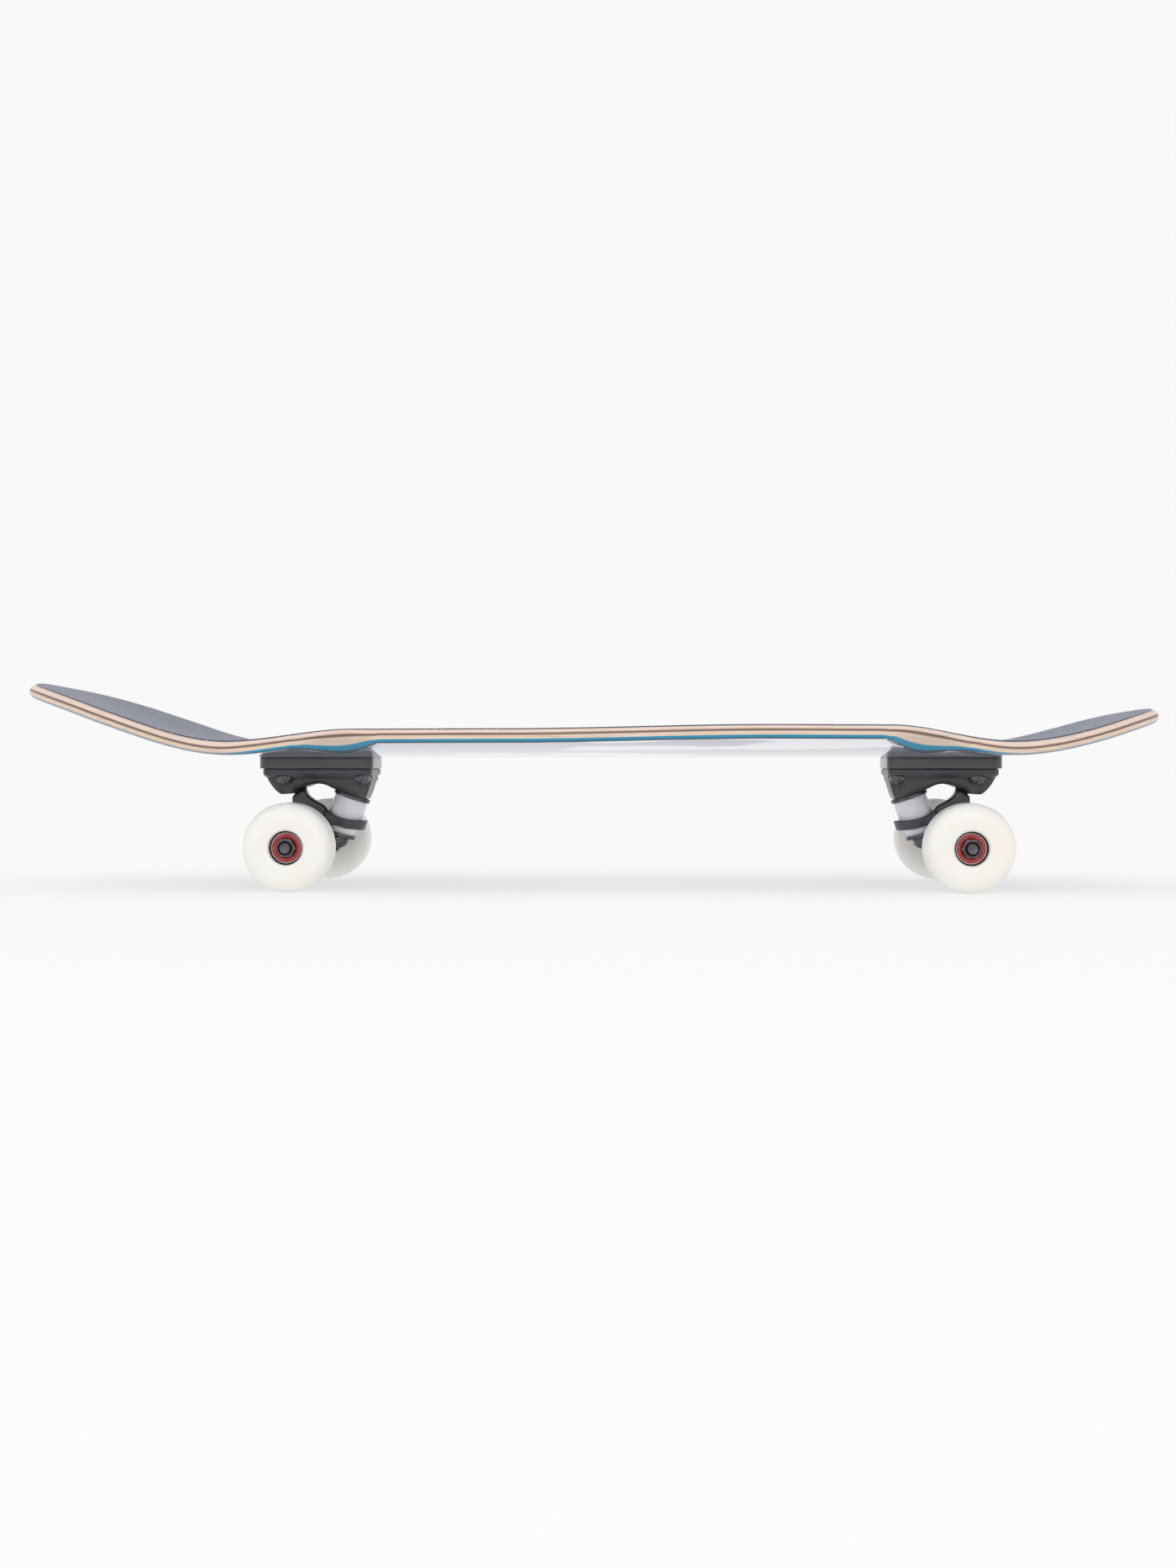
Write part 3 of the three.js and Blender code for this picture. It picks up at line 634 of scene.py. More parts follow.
class Maker:
    """An operator that makes its pieces from one group of settings."""

    settings = "skateboard_truck"

    def execute(self, context):
        self.make(getattr(context.scene, self.settings))
        return {"FINISHED"}


# ---------------------------------------------------------------- deck

# How far the rail stands above the middle: (x, rise) in millimetres, from tail to nose.
RAIL_RISE = (
    (-381, 7.1), (-310, 7.1), (-232, 1.5), (-148, 9.7), (-50, 10),
    (120, 12.7), (195, 12.4), (272, 1.5), (340, 4.1), (381, 4.1),
)
TAIL_END = {"side": -1, "bend_start": -225, "bend_radius": 247, "round": 100, "power": 2.3}
NOSE_END = {"side": 1, "bend_start": 275, "bend_radius": 205, "round": 90, "power": 2.6}
HALF_LENGTH, HALF_WIDTH, UNDERSIDE = 381, 114, 87.4
WELL_INWARD = {"rear": 25.8, "front": 21}
WELL_INNER, WELL_CUTTER = 62, 100
# The lower plies keep their dye between these places, and fade over the last distance.
DYED_FROM, DYED_TO, DYED_FADE = -245, 285, 40
# How much thicker the bottom ply shows there, as a share of the deck, and less in a well. Below the
# bottom ply this leaves the band of painted shade on the lower rounding.
PLY_DROP, WELL_PLY_LIFT = 0.09, 0.04


class DeckShape:
    """The curved panel as formulas in millimetres."""

    def __init__(self, look):
        self.thickness = look.thickness / MM
        self.round = look.edge_round / MM
        self.flat = look.flat_half_width / MM
        self.power = look.concave_power
        self.well_depth = look.well_depth / MM
        self.ends = (
            {**TAIL_END, "angle": look.tail_angle},
            {**NOSE_END, "angle": look.nose_angle},
        )

    def rise(self, x):
        """Smooth steps between the listed heights of the rail."""
        places, heights = np.array(RAIL_RISE, float).T
        i = np.clip(np.searchsorted(places, x) - 1, 0, len(places) - 2)
        t = smoothstep((x - places[i]) / (places[i + 1] - places[i]))
        return heights[i] + (heights[i + 1] - heights[i]) * t

    def centre_line(self, x):
        """Height and slope of the middle layer: flat, then an arc of the bend's radius up
        to the kick's angle, then straight at that angle."""
        height = np.full_like(x, UNDERSIDE + self.thickness / 2)
        slope = np.zeros_like(x)
        for end in self.ends:
            run = np.maximum(0, end["side"] * (x - end["bend_start"]))
            radius, angle = end["bend_radius"], end["angle"]
            arc_run = radius * math.sin(angle)
            bend = np.arcsin(np.minimum(run, arc_run) / radius)
            height += radius * (1 - np.cos(bend)) + np.maximum(0, run - arc_run) * math.tan(angle)
            slope += end["side"] * bend
        return height, slope

    def point(self, x, y, h):
        """A place on the panel from its plan position and height above the underside:
        the height is laid off square to the centre line, and the rail rise is added."""
        height, slope = self.centre_line(x)
        offset = h - self.thickness / 2
        across = np.clip((np.abs(y) - self.flat) / (HALF_WIDTH - self.flat), 0, None)
        z = height + self.rise(x) * across**self.power + offset * np.cos(slope)
        return np.stack([x - offset * np.sin(slope), y, z], -1)

    def outline(self, inset, end_steps, rail_steps):
        """Plan position of the edge, drawn in by `inset`, from tail to nose: superellipse
        ends x = a cos^(2/n), y = b sin^(2/n), and straight rails between them."""
        inset = np.asarray(inset, float)[None, :]
        angle = (np.arange(end_steps) / end_steps * np.pi / 2)[:, None]
        width = HALF_WIDTH - inset
        parts = []
        for end in self.ends:
            along = (end["round"] - inset) * np.cos(angle) ** (2 / end["power"])
            x = end["side"] * (HALF_LENGTH - end["round"] + along)
            parts.append((x, width * np.sin(angle) ** (2 / end["power"])))
        start, stop = (end["side"] * (HALF_LENGTH - end["round"]) for end in self.ends)
        t = np.linspace(0, 1, rail_steps + 1)[:, None]
        rail = (start + (stop - start) * t + 0 * inset, width + 0 * t)
        (tail_x, tail_y), (nose_x, nose_y) = parts
        return (
            np.concatenate([tail_x, rail[0], nose_x[::-1]]),
            np.concatenate([tail_y, rail[1], nose_y[::-1]]),
        )

    def well(self, x, y):
        """Depth of the wheel wells: a round cutter of the well's radius, sinking deeper
        as the square of the way out to the rail."""
        across = np.clip((np.abs(y) - WELL_INNER) / (HALF_WIDTH - WELL_INNER), 0, 1)
        depth = np.zeros_like(x)
        for truck in TRUCKS:
            centre = truck_centre(truck)
            middle = centre - math.copysign(WELL_INWARD[truck], centre)
            cut = self.well_depth * across**2 - (x - middle) ** 2 / (2 * WELL_CUTTER)
            depth = np.maximum(depth, cut)
        return depth

    def sheet(self, name, edge, face_steps, end_steps, rail_steps, carved=False):
        """A closed sheet along the panel. `edge` lists (inset, height) from its top to its
        bottom; the two faces are filled across with points set closer near the rails."""
        edge = np.asarray(edge, float)
        fill = np.sin(np.linspace(-1, 1, face_steps + 1)[1:-1] * np.pi / 2)
        inset, height = (
            np.concatenate([0 * fill + part[0], part, 0 * fill + part[-1], part[::-1]])
            for part in edge.T
        )
        share = np.concatenate([fill, 0 * edge[:, 0] + 1, -fill, 0 * edge[:, 0] - 1])
        x, half = self.outline(inset, end_steps, rail_steps)
        y = half * share
        h = height + 0 * x
        carve = self.well(x, y) if carved else 0 * x
        h = h + carve * (1 - h / self.thickness)
        between = smoothstep((x - DYED_FROM) / DYED_FADE) * smoothstep((DYED_TO - x) / DYED_FADE)
        ply = h / self.thickness - between * (PLY_DROP - WELL_PLY_LIFT * smoothstep(carve))
        return mesh_from(name, self.point(x, y, h), ply=ply, painted=h < 0.05, between=between)


def truck_centre(truck):
    """Where a truck's bolt pattern is centred along the board, in millimetres."""
    return box(f"{truck}_riser_pad")[:, 0].mean()


def bolt_places():
    """Every mounting bolt: its label and its place in plan, in millimetres."""
    places = {}
    for truck in TRUCKS:
        for end in ("outer", "inner"):
            for side in SIDES:
                label = f"{truck}_{end}_{side}"
                places[label] = box(f"{label}_bolt").mean(0)[:2]
    return places


class SKATEBOARD_OT_deck(Maker, bpy.types.Operator):
    """Make the laminated deck with its kicks, concave and wheel wells"""

    bl_idname = "skateboard.deck"
    bl_label = "Deck"
    settings = "skateboard_deck"

    def make(self, look):
        shape = DeckShape(look)
        r, t = shape.round, shape.thickness
        angle = np.linspace(0, np.pi / 2, 13)
        upper = np.stack([r * (1 - np.sin(angle)), t - r * (1 - np.cos(angle))], -1)
        side = np.linspace(t - r, r, 6)[1:-1]
        middle = np.stack([0 * side, side], -1)
        edge = np.concatenate([upper, middle, np.stack([upper[::-1, 0], t - upper[::-1, 1]], -1)])
        steps = {"face_steps": 60, "end_steps": 44, "rail_steps": 230}
        mesh = shape.sheet("deck_panel", edge, **steps, carved=True)
        made = new_object("deck_panel", mesh, maple_finish(look), sharp=50)
        placed(made, BOARD, "maple", "deck")


class SKATEBOARD_OT_grip(Maker, bpy.types.Operator):
    """Make the abrasive sheet on the deck, with its clean-cut rim and bolt holes"""

    bl_idname = "skateboard.grip"
    bl_label = "Grip sheet"
    settings = "skateboard_deck"

    def make(self, look):
        shape = DeckShape(look)
        top = shape.thickness + look.grip_thickness / MM
        inset = look.grip_inset / MM
        drop = shape.round - math.sqrt(shape.round**2 - (shape.round - inset) ** 2)
        base = shape.thickness - drop + 0.02
        under = shape.thickness + 0.02
        edge = [(inset + 2, top), (inset + 0.35, top - drop * 0.6), (inset, base + 0.5)]
        edge += [(inset, base), (inset + 2.2, under)]
        steps = {"face_steps": 44, "end_steps": 36, "rail_steps": 170}
        mesh = shape.sheet("grip_sheet", edge, **steps)
        low, high = box("rear_outer_left_bolt")
        radius = (high[0] - low[0]) / 2 + 0.25
        hole = [(0, 90), (radius, 90), (radius, 110), (0, 110)]
        holes = [
            mesh_from("hole", revolved(hole, 32, origin=(x, y, 0)))
            for x, y in bolt_places().values()
        ]
        mesh = cut_and_joined("grip_sheet", mesh, [], [joined("holes", holes)])
        made = new_object("grip_sheet", mesh, grip_finish(look), sharp=60)
        placed(made, BOARD, "grip", "grip_tape")


# ---------------------------------------------------------------- trucks

# Truck frame, in millimetres: x from the truck's middle towards the middle of the board.
KINGPIN_TILT = math.radians(18.8)
KINGPIN_UP = np.array([math.sin(KINGPIN_TILT), 0, math.cos(KINGPIN_TILT)])
RING_CENTRE = np.array([15.8, 0, 45])
PIVOT_MOUTH = np.array([-17.8, 0, 66.8])
STEER_AXIS = (RING_CENTRE - PIVOT_MOUTH) / np.linalg.norm(RING_CENTRE - PIVOT_MOUTH)
AXLE_CENTRE = np.array([-7.5, 0, 29])
KINGPIN_RADIUS = 4.76
KINGPIN_FOOT, KINGPIN_SEAT, KINGPIN_TOP = -19.8, 28, 33.4
NUT_TOP = -11.9
AXLE_RADIUS = 3.97
ALONG_Y = (0, 1, 0)
# Along the kingpin from the eye's middle: low end, high end, then the radii of a bushing
# at its ends, or the radius of a washer and the side of its rim.
BUSHINGS = {
    "board_side_bushing": (0.9, 16.4, 11.4, 11.2),
    "road_side_bushing": (-10.2, -3.6, 8.8, 10.4),
}
WASHERS = {
    "board_side_washer": (16.5, 18, 12.7, -1),
    "road_side_washer": (-11.6, -10.3, 11.2, 1),
}
SLEEVE_BORE, WASHER_BORE = 5.0, 5.1
# The hanger's ovals at the axle ends, and how much they swell in the middle: the centre's
# x and z, the half width and the half height.
OVAL_END = (-7.5, 29, 7.4, 7.4)
OVAL_SWELL = (0.5, 6, 1.2, 6.8)
OVAL_TIP, OVAL_REACH, OVAL_FADE, OVAL_POWER = 74.8, 33, 3.2, 2.4


def in_place(mesh, truck):
    """Moves a mesh from the truck frame into the board's frame. The front truck is
    turned half round, so that both kingpins face the middle of the board."""
    points = np.zeros(len(mesh.vertices) * 3)
    mesh.vertices.foreach_get("co", points)
    points = points.reshape(-1, 3)
    centre = truck_centre(truck)
    if centre > 0:
        points[:, :2] *= -1
    points[:, 0] += centre * MM
    mesh.vertices.foreach_set("co", points.ravel())
    mesh.update()
    return mesh


def turned_mesh(name, profile, sides, axis=(0, 0, 1), origin=(0, 0, 0), closed=False):
    """A turned piece. A closed profile makes a ring; an open one starts and ends on the axis."""
    return mesh_from(name, revolved(profile, sides, axis, origin), wrap_rows=closed)


def rod_mesh(name, radius, low, high, axis, origin, sides=64):
    """A plain rod, with its two edges eased by a hair."""
    hair = 1e-3
    corners = [(0, low), (radius, low, hair), (radius, high, hair), (0, high)]
    return turned_mesh(name, softened(corners), sides, axis, origin)


def hex_nut_mesh(name, across, hole, height, collar, axis, origin):
    """A lock nut. The outside at angle a is across/2 / cos(a within its sixth), cut back
    by a cone at both ends, with a round collar of its own radius on top."""
    sides, bevel = 96, 0.9
    within = (circle(sides) + np.pi / 6) % (np.pi / 3) - np.pi / 6
    half = across / 2
    hex_height = height - collar
    z = np.linspace(0, bevel, 4)
    z = np.concatenate([z, np.linspace(hex_height - bevel, hex_height, 4)])
    cone = half + np.minimum(z, hex_height - z) * 1.5 + 0.05
    outside = np.minimum((half / np.cos(within))[None], cone[:, None])
    inside = [
        (half * 0.97, hex_height), (half * 0.86, hex_height + 0.2, 0.2), (half * 0.84, height, 0.9),
        (hole + 0.5, height, 0.3), (hole + 0.3, height - 0.7),
    ]
    bore = [(hole, height - 1.2), (hole, 0.4), (hole + 0.4, 0)]
    inside = np.concatenate([softened(inside), bore])
    radius = np.concatenate([outside, np.repeat(inside[:, :1], sides, 1)])
    heights = np.concatenate([z, inside[:, 1]])[:, None]
    return mesh_from(name, around(radius, heights, sides, axis, origin), wrap_rows=True)


def threaded(radius, low, high, pitch=1.0, depth=0.4):
    """Profile points of a threaded rod as a row of V grooves."""
    count = 2 * int((high - low) / pitch) + 1
    r = np.where(np.arange(count) % 2, radius, radius - depth)
    return list(zip(r, np.linspace(low, high, count)))


def hanger_mesh(name):
    """The hanger's casting: ovals along the axle, a yoke, the eye round the kingpin and
    the pivot stem, with room cut for the bushings, the washers and the nut. The ovals
    swell from the axle ends to the middle as 1 / (1 + (y / reach)^fade)."""
    y = np.linspace(-OVAL_TIP, OVAL_TIP, 61)[:, None]
    swell = 1 / (1 + (np.abs(y) / OVAL_REACH) ** OVAL_FADE)
    cx, cz, half_width, half_height = (
        end + more * swell for end, more in zip(OVAL_END, OVAL_SWELL)
    )
    angle = circle(40)[None]
    cos, sin = (
        np.sign(part) * np.abs(part) ** (2 / OVAL_POWER) for part in (np.cos(angle), np.sin(angle))
    )
    points = np.stack([cx + half_width * cos, y + 0 * angle, cz + half_height * sin], -1)
    wings = mesh_from(name, points, caps=True)
    yoke = side_slab_mesh("yoke", softened(NECK_PROFILE), 6.3, 2)
    web = side_slab_mesh("web", softened(WEB_PROFILE), 17, 1.6)
    eye = rod_mesh("eye", EYE_RADIUS, -20, 20, KINGPIN_UP, RING_CENTRE, 96)
    eye = cut_and_joined("eye", web, [], [], [eye])
    stem = turned_mesh("stem", softened(STEM_PROFILE), 64, STEER_AXIS, PIVOT_MOUTH)
    tools = [
        rod_mesh("bore", 7.6, -30, 30, KINGPIN_UP, RING_CENTRE),
        rod_mesh("axle_bore", 4.3, -90, 90, ALONG_Y, AXLE_CENTRE),
    ]
    for reach, low, wide in RELIEFS:
        local = revolved([(0, low), (reach, low), (reach, -5), (0, -5)], 90)
        local[..., 1] *= wide / reach
        tools.append(mesh_from("relief", local @ basis(KINGPIN_UP) + RING_CENTRE))
    return cut_and_joined(name, wings, [yoke, eye, stem], tools)


# Side profiles in the truck frame, with the cut of each rounded corner: the neck from
# the pivot down to the axle, and the web that sweeps from it out to the kingpin's eye.
NECK_PROFILE = (
    (-19.8, 61, 1), (-13.8, 65.4, 2), (-10.3, 65.4, 1.5), (-9, 61.6, 3), (-4.4, 58.3, 3),
    (2.5, 54.9, 3), (7, 49.8, 2), (7, 38), (0, 35), (-14, 34), (-17.5, 44, 4), (-19.8, 54, 4),
)
WEB_PROFILE = (
    (-12, 60.5), (-4.4, 58.3, 3), (2.5, 54.9, 3), (7.1, 49.9, 3), (13.9, 46.6, 3),
    (21.4, 44.9, 3), (33, 43.9), (32, 37), (20, 38.7, 4), (8, 39.6), (-12, 40),
)
EYE_RADIUS = 15.6
# The stem and the cup it turns in: radius and height along the steering line.
STEM_PROFILE = ((0, -4.6), (3.4, -4.6, 1.5), (3.4, 0, 1), (4.4, 2, 1.5), (4.6, 6, 1), (0, 10))
CUP_PROFILE = (
    (0, -6.8), (5.2, -6.8, 1), (5.2, -0.4, 0.4), (3.9, -0.4, 0.4), (3.8, -3.8, 1),
    (2.4, -4.9, 0.6), (0, -4.9),
)
# Room under the eye, for the bushing and for the nut: reach in x, low end, reach in y.
RELIEFS = ((12.4, -14, 15.8), (9.6, -40, 14))

BASEPLATE_PROFILE = (
    (-37, 77), (-34.4, 71, 3), (-30, 65.2, 3), (-26.3, 62.3, 1.2), (-18.2, 62.8, 1),
    (-15.5, 66, 2), (-10, 67.6, 2), (-4.4, 69.5, 3), (0.3, 69.8, 3), (5, 68.9, 3),
    (9, 66.7, 0.6), (31.9, 58.7, 1), (33.8, 63, 3), (35.9, 69.7, 4), (37.6, 77),
)
# The bolt pattern along and across a truck: its middle is nearer to the board's middle.
PATTERN_SHIFT, PATTERN_LENGTH, PATTERN_WIDTH = 4.5, 53.98, 41.28
BOLT_X = (PATTERN_SHIFT - PATTERN_LENGTH / 2, PATTERN_SHIFT + PATTERN_LENGTH / 2)
BOLT_Y = (-PATTERN_WIDTH / 2, PATTERN_WIDTH / 2)


def baseplate_mesh(name, truck):
    """The baseplate's casting: a flange with a lip under it, a deep body, and pockets for the
    kingpin, the pivot cup and the bolts."""
    _, half_width, top = box(f"{truck}_baseplate")[1]
    outline = rounded_rectangle((-36.5, -half_width), (38, half_width), 5)
    flange = slab_mesh(name, outline, 75.6, top, 0.6)
    body = side_slab_mesh("body", softened(BASEPLATE_PROFILE), 15.4, 2.2)
    lip = slab_mesh("lip", rounded_rectangle((-35.6, -26), (37.2, 26), 5), 74.3, 76.5, 0.5)
    tools = [
        rod_mesh("bore", 5.2, 0, 60, KINGPIN_UP, RING_CENTRE),
        rod_mesh("head", 8.6, 27.7, 60, KINGPIN_UP, RING_CENTRE),
        rod_mesh("cup", 5.5, -7.1, 9, STEER_AXIS, PIVOT_MOUTH),
    ]
    for x in BOLT_X:
        for y in BOLT_Y:
            tools.append(rod_mesh("bolt_hole", 2.75, 60, 90, (0, 0, 1), (x, y, 0), 32))
            tools.append(rod_mesh("nut_seat", 6.6, 60, 75.4, (0, 0, 1), (x, y, 0), 48))
    return cut_and_joined(name, flange, [body, lip], tools)


class SKATEBOARD_OT_castings(Maker, bpy.types.Operator):
    """Make the painted castings: two baseplates and two hangers"""

    bl_idname = "skateboard.castings"
    bl_label = "Truck castings"

    def make(self, look):
        paint = painted_casting_finish(look)
        skin = look.skin / MM
        for truck in TRUCKS:
            for kind, body, solid in (
                ("baseplate", BOARD, baseplate_mesh("baseplate", truck)),
                ("hanger", f"{truck}_steering", hanger_mesh("hanger")),
            ):
                name = f"{truck}_{kind}_casting"
                mesh = in_place(cast_skin(name, solid, skin, look.wear), truck)
                placed(new_object(name, mesh, paint, sharp=80), body, "casting", f"{truck}_{kind}")


class SKATEBOARD_OT_risers(Maker, bpy.types.Operator):
    """Make the plastic riser pads"""

    bl_idname = "skateboard.risers"
    bl_label = "Riser pads"

    def make(self, look):
        plastic = black_plastic_finish("riser_plastic", look.riser, look.riser_light)
        for truck in TRUCKS:
            low, high = box(f"{truck}_riser_pad")
            half = np.array([(high[0] - low[0]) / 2, high[1]])
            name = f"{truck}_riser"
            outline = rounded_rectangle(-half, half, 7)
            mesh = slab_mesh(name, outline, low[2] - 0.28, UNDERSIDE - 0.02, 0.5)
            in_place(mesh, truck)
            placed(new_object(name, mesh, plastic), BOARD, "riser", f"{truck}_riser_pad")


class SKATEBOARD_OT_kingpins(Maker, bpy.types.Operator):
    """Make the kingpins with their nuts and cupped washers, and the pivot cups"""

    bl_idname = "skateboard.kingpins"
    bl_label = "Kingpins and pivot cups"

    def make(self, look):
        steel = blackened_steel(look)
        nylon = black_plastic_finish("cup_nylon", srgb(34, 34, 37), srgb(48, 48, 52))
        foot, seat, top = KINGPIN_FOOT, KINGPIN_SEAT, KINGPIN_TOP
        pin = [(0, foot), (KINGPIN_RADIUS - 1, foot), *threaded(KINGPIN_RADIUS, -19.3, -2)]
        pin += [(KINGPIN_RADIUS, 0), (KINGPIN_RADIUS, seat), (7.8, seat), (8.2, seat + 0.6)]
        pin += [(8.2, top - 0.6), (7.6, top), (3.6, top), (3.6, 30), (0, 30)]
        nut = ("nut", 14.3, 4.8, 6.5, 1.8, -KINGPIN_UP, RING_CENTRE + NUT_TOP * KINGPIN_UP)
        for truck in TRUCKS:
            pieces = {
                "kingpin": turned_mesh("kingpin", pin, 64, KINGPIN_UP, RING_CENTRE),
                "kingpin_nut": hex_nut_mesh(*nut),
                **{node: self.washer(*sizes) for node, sizes in WASHERS.items()},
            }
            pieces = {node: (mesh, steel, "black_steel") for node, mesh in pieces.items()}
            cup = turned_mesh("cup", softened(CUP_PROFILE), 64, STEER_AXIS, PIVOT_MOUTH)
            pieces["pivot_cup"] = (cup, nylon, "cup")
            for node, (mesh, material, slot) in pieces.items():
                name = f"{truck}_{node}_piece"
                in_place(mesh, truck)
                placed(new_object(name, mesh, material), BOARD, slot, f"{truck}_{node}")

    def washer(self, low, high, radius, rim_side):
        """A disc with a low rolled rim towards the bushing that it holds."""
        near, far = (high, low) if rim_side < 0 else (low, high)
        lip = far + rim_side
        inside = far if rim_side < 0 else high
        corners = [
            (WASHER_BORE, near), (radius, near, 0.5), (radius, lip, 0.4), (radius - 1.1, lip, 0.4),
            (radius - 1.3, inside, 0.5), (WASHER_BORE, inside),
        ]
        line = softened(corners)
        return turned_mesh("washer", line, 96, KINGPIN_UP, RING_CENTRE, closed=True)


class SKATEBOARD_OT_bushings(Maker, bpy.types.Operator):
    """Make the soft bushings, which sit between the baseplates and the hangers"""

    bl_idname = "skateboard.bushings"
    bl_label = "Bushings"

    def make(self, look):
        urethane = urethane_finish("bushing_urethane", look.bushing, look.bushing_shade, 0.22, 3)
        for truck in TRUCKS:
            for node, (low, high, low_radius, high_radius) in BUSHINGS.items():
                mesh = in_place(self.barrel(low, high, low_radius, high_radius), truck)
                name = f"{truck}_{node}_piece"
                made = new_object(name, mesh, urethane)
                ends = [
                    in_place_point(RING_CENTRE + h * KINGPIN_UP, truck)
                    for h in (low + 0.5, high - 0.5)
                ]
                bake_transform(made)
                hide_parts(f"{truck}_{node}")

    def barrel(self, low, high, low_radius, high_radius):
        """A turned sleeve whose side bulges by sin(pi t) between its rounded rims."""
        t = np.linspace(0.06, 0.94, 22)
        side = low_radius + (high_radius - low_radius) * t + 0.35 * np.sin(np.pi * t)
        body = list(zip(side, low + (high - low) * t))
        profile = [(SLEEVE_BORE, low), (low_radius - 1, low), (low_radius - 0.4, low + 0.1), *body]
        profile += [(high_radius - 0.4, high - 0.1), (high_radius - 1, high), (SLEEVE_BORE, high)]
        return turned_mesh("bushing", profile, 96, KINGPIN_UP, RING_CENTRE, closed=True)


def in_place_point(point, truck):
    """A point of the truck frame in the board's frame, in metres."""
    centre = truck_centre(truck)
    side = -1 if centre > 0 else 1
    return ((centre + side * point[0]) * MM, side * point[1] * MM, point[2] * MM)


# ---------------------------------------------------------------- fasteners


def bolt_head(radius, height, sides):
    """A countersunk head's top: at radius r and angle a it sinks by the depth of a
    four-armed recess, whose arms are `arm` wide and end in slopes."""
    share = np.linspace(0, 1, 24)[:, None]
    angle = circle(sides)[None]
    r = radius * share
    x, y = r * np.cos(angle), r * np.sin(angle)
    arm, reach, depth = 0.55, 2.5, 1.5
    across = np.minimum(np.abs(x), np.abs(y))
    along = np.maximum(np.abs(x), np.abs(y))
    sunk = smoothstep((arm + 0.25 - across) / 0.4) * smoothstep((reach - along) / 0.7)
    dome = 0.18 * (1 - share**2)
    return np.stack([x, y, height + dome - depth * sunk], -1)


class SKATEBOARD_OT_fasteners(Maker, bpy.types.Operator):
    """Make the mounting bolts with crossed recesses and their lock nuts"""

    bl_idname = "skateboard.fasteners"
    bl_label = "Mounting bolts"

    def make(self, look):
        black = blackened_steel(look)
        bright = zinc_plate(look)
        for label, (x, y) in bolt_places().items():
            low, high = box(f"{label}_bolt")[:, 2]
            mesh = self.bolt(x, y, low, high)
            placed(new_object(f"{label}_screw", mesh, black), BOARD, "black_steel", f"{label}_bolt")
            node = f"{label}_lock_nut"
            low, high = box(node)[:, 2]
            top = (x, y, high + 0.25)
            nut = hex_nut_mesh("lock_nut", 9.5, 2.5, high - low, 1.6, (0, 0, -1), top)
            placed(new_object(f"{label}_nut", nut, bright), BOARD, "bright_steel", node)

    def bolt(self, x, y, low, high):
        """The head's grid, then the countersink, the shank and its threads below."""
        head, shank, sides = 4.7, 2.4, 96
        below = [(head, high - 0.25), (shank, high - 2.9), (shank, high - 12)]
        below += threaded(shank, low + 0.6, high - 12.5, 0.9, 0.3)[::-1] + [(1.9, low), (0, low)]
        points = np.concatenate([bolt_head(head, high, sides), revolved(below, sides)])
        return mesh_from("screw", points + np.array([x, y, 0]))


# ---------------------------------------------------------------- wheels


def mirrored(right):
    """Half a section with its mirror image before it."""
    return np.concatenate([right[::-1] * np.array([1, -1]), right])


class SKATEBOARD_OT_axles(Maker, bpy.types.Operator):
    """Make the axles, their nuts and the spacers inside the wheels"""

    bl_idname = "skateboard.axles"
    bl_label = "Axles"

    def make(self, look):
        black = blackened_steel(look)
        bright = zinc_plate(look)
        for truck in TRUCKS:
            body = f"{truck}_steering"
            half = box(f"{truck}_axle")[1, 1]
            thread = threaded(AXLE_RADIUS, half - 14, half - 0.7)
            right = [(AXLE_RADIUS, half - 15), *thread]
            right += [(3.3, half), (2.9, half - 0.15), (0, half - 0.2)]
            left = [(r, -h) for r, h in right[::-1]]
            mesh = in_place(turned_mesh("axle", [*left, *right], 64, ALONG_Y, AXLE_CENTRE), truck)
            rod = new_object(f"{truck}_axle_rod", mesh, black)
            placed(rod, body, "black_steel", f"{truck}_axle")
            for side in SIDES:
                label = f"{truck}_{side}"
                self.nut(label, body, black)
                self.spacer(label, body, bright)

    def nut(self, label, body, steel):
        node = f"{label}_axle_nut"
        low, high = box(node)
        inner, outer = sorted((low[1], high[1]), key=abs)
        outward = math.copysign(1, outer)
        height = abs(outer - inner) + 0.2
        centre = ((low[0] + high[0]) / 2, inner - outward * 0.25, (low[2] + high[2]) / 2)
        mesh = hex_nut_mesh("axle_nut", 11.6, 4.0, height, 2.1, (0, outward, 0), centre)
        placed(new_object(f"{label}_axle_lock_nut", mesh, steel), body, "black_steel", node)

    def spacer(self, label, body, steel):
        node = f"{label}_spacer"
        low, high = box(node)
        centre = ((low[0] + high[0]) / 2, 0, (low[2] + high[2]) / 2)
        bore, outside = 4.2, 6
        corners = [
            (bore, low[1]), (outside, low[1], 0.4), (outside, high[1], 0.4), (bore, high[1])
        ]
        mesh = turned_mesh("spacer", softened(corners), 64, ALONG_Y, centre, closed=True)
        placed(new_object(f"{label}_axle_spacer", mesh, steel), body, "bright_steel", node)


